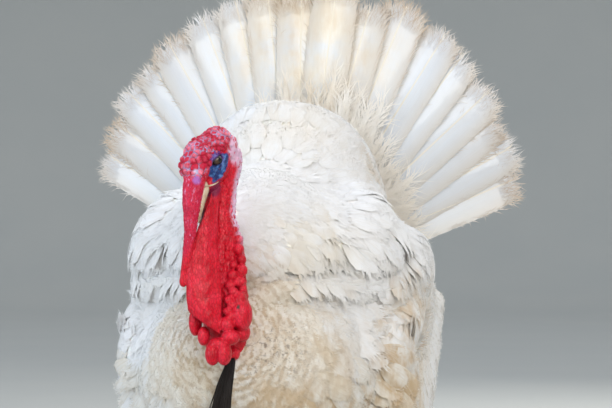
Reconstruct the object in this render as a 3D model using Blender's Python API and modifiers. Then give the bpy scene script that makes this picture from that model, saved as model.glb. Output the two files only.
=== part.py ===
# A strutting white domestic turkey cock, life size, standing on both feet.
# The bird faces -Y, its left side is +X, and the floor is Z = 0. Metres throughout.
import math
import random

import bmesh
import bpy
from mathutils import Matrix, Vector
from mathutils.bvhtree import BVHTree

# Driving sizes
GAP = 0.0003
# Brings the middle of the bird's outline over the origin
CENTRING = Vector((0.006, 0.024, 0.0))
TORSO_FACES = 1300
HEAD_FACES = 1380
NECK_FACES = 1200
SHANK_FACES = 290
FOOT_FACES = 440
BREAST_CENTRE = Vector((0.0, -0.085, 0.322))
BREAST_RADII = Vector((0.182, 0.205, 0.150))
MANTLE_CENTRE = Vector((0.004, 0.045, 0.508))
MANTLE_RADII = Vector((0.168, 0.140, 0.205))
SHOULDER_CENTRE = Vector((0.122, -0.030, 0.470))
SHOULDER_RADII = Vector((0.080, 0.120, 0.108))

HEAD_CENTRE = Vector((-0.022, -0.290, 0.610))
HEAD_YAW = math.radians(28)
HEAD_PITCH = math.radians(56)
EYE_PLACE = Vector((0.004, 0.0192, 0.005))
EYE_RADIUS = 0.0078
CROWN_BUMPS = 35
NECK_BUMPS = 26

# The fan opens in a plane that leans back: angles run from the bird's left side over the top
FAN_CENTRE = Vector((-0.016, 0.215, 0.446))
FAN_FROM = math.radians(22.5)
FAN_TO = math.radians(150)
FAN_RADIUS_TOP = 0.468
FAN_RADIUS_SIDE = 0.380
FAN_LEAN = math.radians(7)
VANE_THICKNESS = 0.0008
SHINGLE = 0.14
RECTRICES = 18
RECTRIX_WIDTH = 0.073

# The wing hangs from the shoulder: (y, z) places on the bird's left side
WRIST = Vector((0.200, -0.082, 0.350))
ELBOW = Vector((0.199, 0.105, 0.425))
HAND_TIP = Vector((0.199, -0.045, 0.245))
PRIMARIES = 7
SECONDARIES = 9
GREATER_COVERTS = 7
MEDIAN_COVERTS = 5

BEARD_LOCKS = 6
BEARD_LENGTH = 0.172

HOCK = Vector((0.090, 0.038, 0.168))
FOOT = Vector((0.100, -0.022, 0.024))
SHANK_RADIUS = 0.0118
SHANK_SCUTES = 6
TOES = (
    ("inner", 32, 0.066),
    ("middle", 2, 0.092),
    ("outer", -30, 0.070),
    ("hind", 172, 0.034),
)
TOE_RADIUS = 0.0095
CLAW_LENGTH = 0.017

WHITE = (0.86, 0.84, 0.79)
RED = (0.62, 0.03, 0.05)
HORN = (0.62, 0.52, 0.40)
LEG = (0.72, 0.56, 0.50)
BLACK = (0.02, 0.02, 0.022)


def clear_scene():
    for old in list(bpy.data.objects):
        bpy.data.objects.remove(old, do_unlink=True)


def new_collection(name, hidden=False):
    made = bpy.data.collections.new(name)
    bpy.context.scene.collection.children.link(made)
    made.hide_render = hidden
    return made


def new_material(name, colour, roughness=0.6):
    made = bpy.data.materials.new(name)
    made.use_nodes = True
    shader = made.node_tree.nodes["Principled BSDF"]
    shader.inputs["Base Color"].default_value = (*colour, 1.0)
    shader.inputs["Roughness"].default_value = roughness
    shader.inputs["Metallic"].default_value = 0.0
    return made


def new_object(name, mesh):
    made = bpy.data.objects.new(name, mesh)
    PARTS.objects.link(made)
    return made


def mesh_from(name, points, faces):
    mesh = bpy.data.meshes.new(name)
    mesh.from_pydata([tuple(p) for p in points], [], faces)
    shell = bmesh.new()
    shell.from_mesh(mesh)
    bmesh.ops.recalc_face_normals(shell, faces=shell.faces)
    shell.to_mesh(mesh)
    shell.free()
    return mesh


def apply_modifiers(thing):
    graph = bpy.context.evaluated_depsgraph_get()
    mesh = bpy.data.meshes.new_from_object(thing.evaluated_get(graph))
    thing.modifiers.clear()
    thing.data = mesh
    return thing


def turned(axis, angle):
    return Matrix.Rotation(angle, 4, axis)


def ellipsoid(name, centre, radii, turn=None, segments=32, rings=16):
    mesh = bpy.data.meshes.new(name)
    shell = bmesh.new()
    bmesh.ops.create_uvsphere(shell, u_segments=segments, v_segments=rings, radius=1.0)
    shell.to_mesh(mesh)
    shell.free()
    scale = Matrix.Diagonal((*radii, 1.0))
    mesh.transform(Matrix.Translation(centre) @ (turn or Matrix.Identity(4)) @ scale)
    return new_object(name, mesh)


def limb(name, path, radii, sides=12, flat=None):
    # a closed tube along a path, its rings square to it, with a rounded point at both ends
    path = [Vector(p) for p in path]
    points = []
    side_hint = Vector((1, 0, 0))
    for i, centre in enumerate(path):
        ahead = path[min(i + 1, len(path) - 1)] - path[max(i - 1, 0)]
        ahead.normalize()
        across = (side_hint - ahead * side_hint.dot(ahead)).normalized()
        up = ahead.cross(across)
        for k in range(sides):
            angle = 2 * math.pi * k / sides
            squash = flat if flat else 1.0
            points.append(
                centre + radii[i] * (across * math.cos(angle) + up * squash * math.sin(angle))
            )
    faces = []
    for i in range(len(path) - 1):
        for k in range(sides):
            a, b = i * sides + k, i * sides + (k + 1) % sides
            faces.append((a, b, b + sides, a + sides))
    faces.append(tuple(range(sides - 1, -1, -1)))
    last = (len(path) - 1) * sides
    faces.append(tuple(range(last, last + sides)))
    return new_object(name, mesh_from(name, points, faces))


def join_objects(name, pieces):
    shell = bmesh.new()
    for piece in pieces:
        piece.data.transform(piece.matrix_world)
        shell.from_mesh(piece.data)
    mesh = bpy.data.meshes.new(name)
    shell.to_mesh(mesh)
    shell.free()
    for piece in pieces:
        bpy.data.objects.remove(piece, do_unlink=True)
    return new_object(name, mesh)


def blend(name, pieces, voxel, smoothing, faces):
    # overlapping pieces become one smooth closed skin of about so many triangles
    thing = join_objects(name, pieces)
    remesh = thing.modifiers.new("skin", "REMESH")
    remesh.mode = "VOXEL"
    remesh.voxel_size = voxel
    smooth = thing.modifiers.new("ease", "SMOOTH")
    smooth.factor = 0.5
    smooth.iterations = smoothing
    apply_modifiers(thing)
    return slim(thing, faces)


def slim(thing, faces):
    # brings a union down to about so many triangles
    thing.data.calc_loop_triangles()
    count = len(thing.data.loop_triangles)
    if count > faces:
        thin = thing.modifiers.new("thin", "DECIMATE")
        thin.ratio = faces / count
        thin.use_collapse_triangulate = True
        apply_modifiers(thing)
    return keep_largest(thing)


def keep_largest(thing):
    # drops every closed surface but the one that holds most
    shell = bmesh.new()
    shell.from_mesh(thing.data)
    bmesh.ops.triangulate(shell, faces=shell.faces)
    bmesh.ops.remove_doubles(shell, verts=shell.verts, dist=0.00001)
    bmesh.ops.dissolve_degenerate(shell, dist=0.00001, edges=shell.edges)
    bmesh.ops.triangulate(shell, faces=shell.faces)
    left = set(shell.faces)
    groups = []
    while left:
        stack = [left.pop()]
        group = set(stack)
        while stack:
            for edge in stack.pop().edges:
                for face in edge.link_faces:
                    if face in left:
                        left.remove(face)
                        group.add(face)
                        stack.append(face)
        groups.append(group)

    def held(group):
        return sum(
            f.verts[0].co.dot(f.verts[1].co.cross(f.verts[2].co)) / 6 for f in group
        )

    groups.sort(key=held)
    scraps = [face for group in groups[:-1] for face in group]
    bmesh.ops.delete(shell, geom=scraps, context="FACES")
    loose = [vert for vert in shell.verts if not vert.link_faces]
    bmesh.ops.delete(shell, geom=loose, context="VERTS")
    shell.to_mesh(thing.data)
    shell.free()
    return thing


def combine(thing, others, operation="UNION"):
    # one Boolean on a collection of closed meshes, applied, with the collection's objects removed
    group = bpy.data.collections.new(thing.name + "_others")
    for other in others:
        group.objects.link(other)
    cut = thing.modifiers.new("join", "BOOLEAN")
    cut.operation = operation
    cut.operand_type = "COLLECTION"
    cut.collection = group
    cut.solver = "MANIFOLD"
    apply_modifiers(thing)
    for other in list(others):
        bpy.data.objects.remove(other, do_unlink=True)
    bpy.data.collections.remove(group)
    return keep_largest(thing)


def swollen(thing, by=GAP):
    # a copy that stands off the surface by the gap that touching meshes keep
    copy = new_object(thing.name + "_swollen", thing.data.copy())
    push = copy.modifiers.new("push", "DISPLACE")
    push.strength = by
    push.mid_level = 0.0
    return apply_modifiers(copy)


def cut_clear(thing, *neighbours):
    return combine(thing, [swollen(n) for n in neighbours], "DIFFERENCE")


def finish(thing, material):
    thing.data.materials.clear()
    thing.data.materials.append(material)
    thing.data.shade_smooth()
    thing.data.set_sharp_from_angle(angle=math.radians(40))
    return thing


def mirrored(sign, place):
    return Vector((place[0] * sign, place[1], place[2]))


def head_frame():
    # forward, left and up of the head: turned to the bird's right, then nodded down
    yaw = Matrix.Rotation(-HEAD_YAW, 3, "Z")
    level = Vector((0, -1, 0))
    left = yaw @ Vector((1, 0, 0))
    forward = (yaw @ level) * math.cos(HEAD_PITCH) - Vector((0, 0, math.sin(HEAD_PITCH)))
    up = forward.cross(left)
    turn = Matrix((forward, left, up)).transposed()
    return Matrix.Translation(HEAD_CENTRE) @ turn.to_4x4()


def sheet_solid(name, surface, across, along, thickness):
    # an open grid of surface(u, v) points, given its thickness by Solidify
    points = []
    for j in range(along + 1):
        for i in range(across + 1):
            points.append(surface(i / across, j / along))
    faces = []
    for j in range(along):
        for i in range(across):
            a = j * (across + 1) + i
            b, c, d = a + 1, a + across + 2, a + across + 1
            faces += [(a, b, c), (a, c, d)]
    mesh = bpy.data.meshes.new(name)
    mesh.from_pydata(points, [], faces)
    thing = new_object(name, mesh)
    wall = thing.modifiers.new("thickness", "SOLIDIFY")
    wall.thickness = thickness
    wall.offset = 0.0
    apply_modifiers(thing)
    shell = bmesh.new()
    shell.from_mesh(thing.data)
    bmesh.ops.recalc_face_normals(shell, faces=shell.faces)
    shell.to_mesh(thing.data)
    shell.free()
    return thing


def make_torso():
    pieces = [
        ellipsoid("breast", BREAST_CENTRE, BREAST_RADII),
        ellipsoid("belly", (0, 0.035, 0.318), (0.150, 0.180, 0.112)),
        ellipsoid("chest", (0, -0.120, 0.488), (0.132, 0.132, 0.122)),
        ellipsoid("mantle", MANTLE_CENTRE, MANTLE_RADII),
        ellipsoid("back", (-0.002, 0.092, 0.480), (0.150, 0.092, 0.150)),
        ellipsoid("rump", (-0.006, 0.108, 0.405), (0.135, 0.078, 0.120)),
        ellipsoid("vent", (0, 0.150, 0.330), (0.105, 0.085, 0.078)),
    ]
    for sign in (1, -1):
        pieces.append(
            ellipsoid("shoulder", mirrored(sign, SHOULDER_CENTRE), SHOULDER_RADII)
        )
    torso = blend("torso", pieces, 0.010, 18, TORSO_FACES)
    return finish(torso, MATERIALS["white"])


def make_thigh(side, sign, torso):
    hip = mirrored(sign, (0.085, 0.010, 0.270))
    knee = mirrored(sign, HOCK) + Vector((0, 0.002, 0.020))
    pieces = [
        ellipsoid("drumstick", hip.lerp(knee, 0.30), (0.056, 0.072, 0.078)),
        ellipsoid("cuff", hip.lerp(knee, 0.74), (0.036, 0.042, 0.046)),
        ellipsoid("cuff_end", knee, (0.0225, 0.0255, 0.028)),
    ]
    thigh = blend("thigh_" + side, pieces, 0.006, 4, 220)
    cut_clear(thigh, torso)
    return finish(thigh, MATERIALS["white"])


NECK_PATH = (
    (-0.004, -0.225, 0.335),
    (-0.010, -0.258, 0.366),
    (-0.011, -0.272, 0.402),
    (-0.013, -0.274, 0.444),
    (-0.016, -0.270, 0.492),
    (-0.019, -0.266, 0.535),
    (-0.014, -0.262, 0.569),
    (-0.006, -0.261, 0.602),
    (-0.003, -0.264, 0.625),
)
NECK_RADII = (0.034, 0.033, 0.030, 0.0265, 0.0225, 0.0190, 0.0180, 0.0180, 0.0150)
# The large bulbs at the foot of the neck: centre and radii
BULBS = (
    ((0.0180, -0.300, 0.406), (0.0190, 0.0180, 0.0225)),
    ((-0.0140, -0.3160, 0.351), (0.0120, 0.0125, 0.0130)),
    ((0.0030, -0.3150, 0.352), (0.0115, 0.0125, 0.0125)),
    ((0.0050, -0.3120, 0.374), (0.0125, 0.0135, 0.0125)),
    ((-0.0370, -0.3020, 0.395), (0.0100, 0.0140, 0.0210)),
    ((-0.0280, -0.3100, 0.370), (0.0105, 0.0120, 0.0140)),
    ((0.0190, -0.2900, 0.372), (0.0120, 0.0150, 0.0150)),
)


def surface_under(tree, place, outside):
    # the surface point and normal met on the way from an outside point towards a place within
    heading = (place - outside).normalized()
    hit, normal, _, _ = tree.ray_cast(outside, heading)
    return hit, normal


def bumps_on(thing, spots, segments=6, rings=3):
    # low oval bumps sunk into a surface: each spot is (outside point, aim, length, width, height, lie)
    tree = BVHTree.FromObject(thing, bpy.context.evaluated_depsgraph_get())
    made = []
    for outside, aim, length, width, height, lie in spots:
        hit, normal = surface_under(tree, aim, outside)
        if hit is None:
            continue
        along = (lie - normal * lie.dot(normal)).normalized()
        across = normal.cross(along)
        turn = Matrix((along, across, normal)).transposed().to_4x4()
        bump = ellipsoid("bump", (0, 0, 0), (length, width, height), None, segments, rings)
        bump.data.transform(Matrix.Translation(hit - normal * height * 0.25) @ turn)
        made.append(bump)
    return made


def make_head():
    place = head_frame()
    turn = place.to_3x3()

    def part(name, centre, radii):
        lump = ellipsoid(name, (0, 0, 0), radii)
        lump.data.transform(place @ Matrix.Translation(centre))
        return lump

    pieces = [
        part("cranium", (-0.005, 0, 0.003), (0.042, 0.0235, 0.0275)),
        part("brow", (0.026, -0.002, 0.010), (0.023, 0.0200, 0.0175)),
        part("cheek", (0.004, 0, -0.012), (0.030, 0.0200, 0.0190)),
        part("gape", (0.026, 0, -0.015), (0.019, 0.0140, 0.0120)),
        part("ear", (-0.024, 0, -0.010), (0.022, 0.0210, 0.0230)),
    ]
    head = blend("head", pieces, 0.0024, 3, 520)

    # the crown's close rows of caruncles, then a ring of lid round each eye
    spots = []
    rows, columns = 7, 5
    for k in range(CROWN_BUMPS):
        row, column = divmod(k, columns)
        along = 0.044 - 0.082 * (row + 0.25 * (column % 2)) / rows
        side = math.radians(-72 + 144 * (column + 0.5) / columns + random.uniform(-6, 6))
        outside = place @ Vector((along, 0.08 * math.sin(side), 0.08 * math.cos(side)))
        aim = place @ Vector((along * 0.9, 0, 0))
        size = random.uniform(0.9, 1.2) * (1.2 if row < 3 else 1.05)
        lie = turn @ Vector((random.uniform(-0.4, 0.4), math.cos(side), -math.sin(side)))
        spots.append((outside, aim, 0.0058 * size, 0.0047 * size, 0.0036 * size, lie))
    lids = []
    for sign in (1, -1):
        ring = torus("lid", 0.0068, 0.0018, 11, 4)
        tilt = Matrix.Rotation(math.radians(90) * -sign, 4, "X") @ Matrix.Diagonal((1.12, 0.86, 1, 1))
        centre = (EYE_PLACE.x, (EYE_PLACE.y + 0.0030) * sign, EYE_PLACE.z)
        ring.data.transform(place @ Matrix.Translation(centre) @ tilt)
        lids.append(ring)
    combine(head, bumps_on(head, spots) + lids)

    # the line of the mouth, and the ear openings behind the eyes
    cuts = [box("mouth_line", (0.0500, 0, -0.0162), (0.046, 0.040, 0.0012), place)]
    for sign in (1, -1):
        pit = ellipsoid("ear_pit", (0, 0, 0), (0.0034, 0.0034, 0.0026), None, 8, 6)
        pit.data.transform(place @ Matrix.Translation((-0.020, 0.0212 * sign, -0.006)))
        cuts.append(pit)
    combine(head, cuts, "DIFFERENCE")
    return slim(head, HEAD_FACES)


def box(name, centre, size, place=None):
    mesh = bpy.data.meshes.new(name)
    shell = bmesh.new()
    bmesh.ops.create_cube(shell, size=1.0)
    shell.to_mesh(mesh)
    shell.free()
    mesh.transform(Matrix.Translation(centre) @ Matrix.Diagonal((*size, 1.0)))
    if place:
        mesh.transform(place)
    return new_object(name, mesh)


def torus(name, ring_radius, tube_radius, around, sides):
    # a closed ring: its tube's section carried round a circle
    points, faces = [], []
    for i in range(around):
        turn = 2 * math.pi * i / around
        for k in range(sides):
            angle = 2 * math.pi * k / sides
            reach = ring_radius + tube_radius * math.cos(angle)
            points.append(
                (reach * math.cos(turn), reach * math.sin(turn), tube_radius * math.sin(angle))
            )
            a, b = i * sides + k, i * sides + (k + 1) % sides
            ahead = ((i + 1) % around - i) * sides
            faces.append((a, b, b + ahead, a + ahead))
    return new_object(name, mesh_from(name, points, faces))


def make_neck():
    core = limb("neck_core", NECK_PATH, NECK_RADII, sides=16)
    neck = blend("neck", [core], 0.0050, 2, 300)
    bulbs = [ellipsoid("bulb", centre, radii, None, 10, 6) for centre, radii in BULBS]
    spots = []
    for k in range(NECK_BUMPS):
        down = (k + 0.5) / NECK_BUMPS
        height = 0.600 - 0.170 * down
        angle = math.radians(-20 + 137.5 * k) + random.uniform(-0.3, 0.3)
        if math.sin(angle) < -0.72:
            angle += math.pi * 0.45
        aim = neck_middle(height)
        outside = aim + Vector((math.cos(angle), math.sin(angle), 0.05)) * 0.08
        size = 0.0040 + 0.0042 * down
        spots.append((outside, aim, size * 1.25, size, size * 0.75, Vector((0, 0, 1))))
    combine(neck, bulbs + bumps_on(neck, spots))
    return slim(neck, NECK_FACES)


def neck_middle(height):
    for low, high in zip(NECK_PATH, NECK_PATH[1:]):
        if low[2] <= height <= high[2]:
            share = (height - low[2]) / (high[2] - low[2])
            return Vector(low).lerp(Vector(high), share)
    return Vector(NECK_PATH[-1])


def make_snood():
    path = (
        (-0.0300, -0.3120, 0.5950),
        (-0.0330, -0.3290, 0.5800),
        (-0.0365, -0.3360, 0.5550),
        (-0.0385, -0.3370, 0.5350),
        (-0.0395, -0.3350, 0.5120),
        (-0.0425, -0.3320, 0.4850),
        (-0.0465, -0.3290, 0.4600),
        (-0.0490, -0.3270, 0.4440),
    )
    radii = (0.0125, 0.0142, 0.0125, 0.0118, 0.0098, 0.0082, 0.0062, 0.0034)
    return limb("snood", path, radii, 9, 0.75)


def make_dewlap():
    # one hanging fold of throat skin, its free edge ahead of the neck and to the bird's right
    top, bottom = 0.540, 0.372
    ahead = Vector((-0.64, -0.77, 0))

    def surface(u, v):
        height = top + (bottom - top) * v - 0.010 * u * v
        depth = 0.006 + 0.050 * min(1, v * 2.4) ** 0.7 - 0.018 * max(0, v - 0.85) / 0.15
        back = Vector((-0.0165 + 0.0105 * min(1, v * 2), -0.282 - 0.010 * v, height))
        ripple = 0.0030 * math.sin(9 * v + 2.5 * u) * u
        return back + ahead * depth * u + Vector((0.77, -0.64, 0)) * ripple

    return sheet_solid("dewlap", surface, 3, 7, 0.0065)


def make_beak(head):
    place = head_frame()

    def horn(name, path, radii, flat):
        piece = limb(name, path, radii, 10, flat)
        piece.data.transform(place)
        return piece

    upper = horn(
        "beak_upper",
        ((0.022, 0, -0.002), (0.040, 0, -0.003), (0.056, 0, -0.008), (0.070, 0, -0.015),
         (0.080, 0, -0.025)),
        (0.0115, 0.0105, 0.0085, 0.0060, 0.0018),
        0.80,
    )
    lower = horn(
        "beak_lower",
        ((0.020, 0, -0.022), (0.038, 0, -0.0225), (0.054, 0, -0.0255), (0.068, 0, -0.0290)),
        (0.0090, 0.0080, 0.0060, 0.0022),
        0.45,
    )
    nostrils = []
    for sign in (1, -1):
        pit = ellipsoid("nostril", (0, 0, 0), (0.0045, 0.0022, 0.0016), None, 8, 6)
        pit.data.transform(place @ Matrix.Translation((0.0500, 0.0088 * sign, -0.0040)))
        nostrils.append(pit)
    combine(upper, nostrils, "DIFFERENCE")
    cut_clear(upper, head)
    cut_clear(lower, head)
    cut_clear(lower, upper)
    return finish(upper, MATERIALS["horn"]), finish(lower, MATERIALS["horn"])


def make_eyes(head):
    place = head_frame()
    eyes = []
    for side, sign in (("left", 1), ("right", -1)):
        centre = place @ mirrored(1, (EYE_PLACE.x, EYE_PLACE.y * sign, EYE_PLACE.z))
        eye = ellipsoid("eye_" + side, centre, (EYE_RADIUS,) * 3, None, 10, 6)
        cut_clear(head, eye)
        eyes.append(finish(eye, MATERIALS["black"]))
    return eyes


def fan_direction(angle):
    lean = math.sin(FAN_LEAN) * math.sin(angle)
    return Vector((math.cos(angle), lean, math.sin(angle) * math.cos(FAN_LEAN)))


def fan_radius(angle):
    off = abs(angle - (FAN_FROM + FAN_TO) / 2) / ((FAN_TO - FAN_FROM) / 2)
    return FAN_RADIUS_TOP - (FAN_RADIUS_TOP - FAN_RADIUS_SIDE) * off**1.6


def vane(place, length, width, stations, curl=0.0, roof=0.05):
    # one feather: rows of left edge, shaft and right edge, the same on both faces, then closed round the rim
    half = VANE_THICKNESS / 2
    rows = []
    for t, share in stations:
        reach = width * share / 2
        y, z = length * t, curl * length * t * t
        rows.append([(-reach, y, z - roof * reach), (0, y, z), (reach, y, z - roof * reach)])
    top = [Vector(p) + Vector((0, 0, half)) for row in rows for p in row]
    low = [Vector(p) - Vector((0, 0, half)) for row in rows for p in row]
    n, last = len(top), len(rows) - 1
    faces = []
    for i in range(last):
        for k in range(2):
            a = i * 3 + k
            b, c, d = a + 1, a + 4, a + 3
            split = ((a, b, c), (a, c, d)) if k else ((a, b, d), (b, c, d))
            faces += split
            faces += [tuple(n + p for p in reversed(face)) for face in split]
        for a, d in ((i * 3, i * 3 + 3), (i * 3 + 2, i * 3 + 5)):
            faces.append((a, d, n + d, n + a))
    for a in (0, 1, last * 3, last * 3 + 1):
        faces.append((a, a + 1, n + a + 1, n + a))
    mesh = mesh_from("vane", [place @ p for p in top + low], faces)
    return new_object("vane", mesh)


def vane_place(root, along, outward, tilt):
    # the frame of a feather: its length, then its outer face, turned about its shaft by a slope
    along = along.normalized()
    across = along.cross(outward).normalized()
    face = across.cross(along)
    face = (face - across * tilt).normalized()
    across = along.cross(face)
    return Matrix.Translation(root) @ Matrix((across, along, face)).transposed().to_4x4()


LONG_STATIONS = ((0, 0.10), (0.26, 0.34), (0.58, 0.84), (0.90, 1.0), (1.0, 0.60))
SHORT_STATIONS = ((0, 0.16), (0.35, 0.62), (0.78, 1.0), (1.0, 0.50))
PLAIN_STATIONS = ((0, 0.22), (0.66, 1.0), (1.0, 0.52))


def fan_tier(count, reach, width, forward, first, last, stations, facing=-1, start=0.032):
    # feathers side by side round the fan, each outer one behind its neighbour nearer the middle
    made = []
    middle = (first + last) / 2
    for k in range(count):
        angle = first + (last - first) * k / (count - 1)
        right_half = angle < middle
        along = fan_direction(angle)
        length = (fan_radius(angle) * reach - start) * random.uniform(0.985, 1.01)
        front = Vector((0, facing, 0))
        step = 0.0048 if right_half else 0.0
        root = FAN_CENTRE + along * start + Vector((0, -forward, 0)) + front * step
        tilt = SHINGLE * (1 if right_half else -1) * -facing
        curl = 0.035 * facing * -1
        made.append(vane(vane_place(root, along, front, tilt), length, width, stations, -abs(curl)))
    return made


def make_tail(torso):
    tail = ellipsoid("tail", FAN_CENTRE + Vector((0, 0.006, 0.010)), (0.060, 0.022, 0.050), None, 12, 6)
    combine(
        tail,
        fan_tier(RECTRICES, 1.0, RECTRIX_WIDTH, -0.008, FAN_FROM, FAN_TO, LONG_STATIONS),
    )
    coverts = ellipsoid(
        "tail_coverts", FAN_CENTRE + Vector((0, -0.022, 0.004)), (0.100, 0.020, 0.080), None, 12, 6
    )
    spread = math.radians(9)
    combine(
        coverts,
        fan_tier(8, 0.66, 0.100, 0.016, FAN_FROM - spread, FAN_TO + spread, SHORT_STATIONS)
        + fan_tier(6, 0.52, 0.094, 0.028, FAN_FROM - spread, FAN_TO + spread, SHORT_STATIONS),
    )
    under = ellipsoid(
        "undertail", FAN_CENTRE + Vector((0, 0.046, -0.004)), (0.066, 0.022, 0.060), None, 12, 6
    )
    low = math.radians(24)
    combine(
        under,
        fan_tier(6, 0.54, 0.100, -0.040, FAN_FROM - low, FAN_TO + low, SHORT_STATIONS, 1)
        + fan_tier(4, 0.38, 0.100, -0.052, FAN_FROM - low, FAN_TO + low, PLAIN_STATIONS, 1),
    )
    cut_clear(tail, torso)
    cut_clear(coverts, torso, tail)
    cut_clear(under, torso, tail)
    return [finish(thing, MATERIALS["white"]) for thing in (tail, coverts, under)]


def wing_tier(on, sign, count, line, angles, lengths, width, lift, stations):
    # feathers from a line of the arm, first the lowest, each lying under its neighbour nearer the body
    made = []
    for k in range(count):
        share = k / (count - 1)
        root = on(line[0]).lerp(on(line[1]), share)
        angle = math.radians(angles[0] + (angles[1] - angles[0]) * share)
        length = (lengths[0] + (lengths[1] - lengths[0]) * share) * random.uniform(0.98, 1.01)
        out = 0.075 * (1 - share)
        along = Vector((sign * out, math.sin(angle), -math.cos(angle)))
        root = root + Vector((sign * lift, 0, 0))
        outward = Vector((sign, 0, 0))
        place = vane_place(root, along, outward, SHINGLE * -sign)
        made.append(vane(place, length, width, stations, -0.05))
    return made


def make_wing(side, sign, torso):
    def on(place):
        return mirrored(sign, place)

    arm = [
        ellipsoid("scapular", on((0.166, 0.062, 0.455)), (0.058, 0.100, 0.074)),
        ellipsoid(
            "forearm", on((0.196, 0.008, 0.388)), (0.024, 0.120, 0.046), turned("X", 0.40)
        ),
        ellipsoid("wrist", on((0.192, -0.082, 0.350)), (0.024, 0.036, 0.050)),
        ellipsoid("hand", on((0.198, -0.060, 0.285)), (0.014, 0.026, 0.062)),
    ]
    core = blend("wing_" + side, arm, 0.007, 3, 220)
    wrist, elbow, hand = WRIST, ELBOW, HAND_TIP
    vanes = wing_tier(
        on, sign, PRIMARIES, (hand, wrist), (9, 36), (0.236, 0.275), 0.040, 0.000, LONG_STATIONS
    )
    vanes += wing_tier(
        on, sign, SECONDARIES, (wrist + Vector((0, 0.012, 0)), elbow), (40, 76), (0.255, 0.190),
        0.055, 0.001, LONG_STATIONS
    )
    vanes += wing_tier(
        on, sign, GREATER_COVERTS, (wrist, elbow), (34, 72), (0.120, 0.110),
        0.044, 0.012, SHORT_STATIONS
    )
    vanes += wing_tier(
        on, sign, MEDIAN_COVERTS, (wrist + Vector((0, 0, 0.018)), elbow + Vector((0, 0, 0.018))),
        (34, 70), (0.088, 0.080), 0.050, 0.0185, PLAIN_STATIONS
    )
    wing = combine(core, vanes)
    cut_clear(wing, torso)
    return finish(wing, MATERIALS["white"])


def scute(centre, along, outward, length, width, raise_by):
    # a plate that stands a little off the leg at its lower edge
    across = along.cross(outward).normalized()
    face = across.cross(along).normalized()
    turn = Matrix((across, along, face)).transposed().to_4x4()
    tip = Matrix.Rotation(math.radians(-5), 4, "X")
    place = Matrix.Translation(centre) @ turn @ tip
    return box("scute", (0, 0, 0), (width, length, raise_by), place)


def make_leg(side, sign, thigh):
    hock, foot = mirrored(sign, HOCK), mirrored(sign, FOOT)
    down = foot - hock
    path = [hock + down * t for t in (-0.10, 0.0, 0.12, 0.45, 0.85, 1.02)]
    radii = [r * SHANK_RADIUS for r in (1.05, 1.25, 1.02, 0.92, 1.0, 1.12)]
    shank = limb("shank_" + side, path, radii, 9)
    along = down.normalized()
    forward = (Vector((0, -1, 0)) - along * Vector((0, -1, 0)).dot(along)).normalized()
    sideways = along.cross(forward)
    scutes = []
    for k in range(SHANK_SCUTES):
        for row, turn in ((0, 32), (1, -32)):
            t = 0.10 + 0.80 * (k + 0.5 * row) / SHANK_SCUTES
            angle = math.radians(turn)
            outward = forward * math.cos(angle) + sideways * math.sin(angle)
            centre = hock + down * t + outward * SHANK_RADIUS * 0.86
            scutes.append(scute(centre, along, outward, 0.0138, 0.0118, 0.0042))
    slim(combine(shank, scutes), SHANK_FACES)
    spur_root = hock + down * 0.68 - forward * SHANK_RADIUS * 0.6
    inward = Vector((-sign, 0, 0))
    spur_way = (-forward + inward * 0.5 - Vector((0, 0, 0.15))).normalized()
    spur = limb(
        "spur_" + side,
        [spur_root + spur_way * 0.021 * t for t in (0, 0.45, 0.8, 1.0)],
        (0.0052, 0.0042, 0.0025, 0.0009),
        8,
    )
    cut_clear(shank, thigh)
    cut_clear(spur, shank)
    finish(spur, MATERIALS["horn"])
    return finish(shank, MATERIALS["leg"])


def toe_path(foot, heading, length):
    ahead = Vector((math.sin(heading), -math.cos(heading), 0))
    base = foot + Vector((0, 0, -0.013))
    steps = (0.0, 0.35, 0.62, 0.86, 1.0)
    lift = (0.006, 0.001, 0.0, -0.0015, -0.003)
    return [base + ahead * length * t + Vector((0, 0, h)) for t, h in zip(steps, lift)]


def make_foot(side, sign, shank):
    foot = mirrored(sign, FOOT)
    pad = ellipsoid(
        "foot_" + side, foot + Vector((0, -0.004, -0.010)), (0.0175, 0.020, 0.017), None, 12, 6
    )
    pieces, claws = [], []
    for name, degrees, length in TOES:
        heading = math.radians(degrees) * -sign + math.radians(6) * sign
        path = toe_path(foot, heading, length)
        radii = [TOE_RADIUS * r for r in (1.05, 0.95, 0.88, 0.80, 0.62)]
        pieces.append(limb("toe", path, radii, 7, 0.9))
        ahead = Vector((path[-1].x - path[0].x, path[-1].y - path[0].y, 0)).normalized()
        for k in range(round(length / 0.026)):
            centre = path[0].lerp(path[-1], (k + 0.85) * 0.023 / length)
            centre.z = path[2].z + TOE_RADIUS * 0.70
            pieces.append(scute(centre, ahead, Vector((0, 0, 1)), 0.0165, 0.0105, 0.0042))
        tip = path[-1] + Vector((0, 0, 0.002))
        curve = [
            tip - ahead * 0.006,
            tip + ahead * CLAW_LENGTH * 0.45 + Vector((0, 0, 0.0012)),
            tip + ahead * CLAW_LENGTH * 0.85 + Vector((0, 0, -0.0025)),
            tip + ahead * CLAW_LENGTH + Vector((0, 0, -0.0052)),
        ]
        claws.append(
            limb(f"claw_{side}_{name}", curve, (0.0042, 0.0040, 0.0024, 0.0010), 5)
        )
    whole = slim(combine(pad, pieces), FOOT_FACES)
    cut_at_floor(whole)
    cut_clear(whole, shank)
    for claw in claws:
        cut_at_floor(claw)
        cut_clear(claw, whole)
        finish(claw, MATERIALS["horn"])
    return finish(whole, MATERIALS["leg"])


def cut_at_floor(thing):
    mesh = bpy.data.meshes.new("below_floor")
    shell = bmesh.new()
    bmesh.ops.create_cube(shell, size=1.0)
    shell.to_mesh(mesh)
    shell.free()
    mesh.transform(Matrix.Translation((0, 0, -0.5)))
    return combine(thing, [new_object("below_floor", mesh)], "DIFFERENCE")


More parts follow.
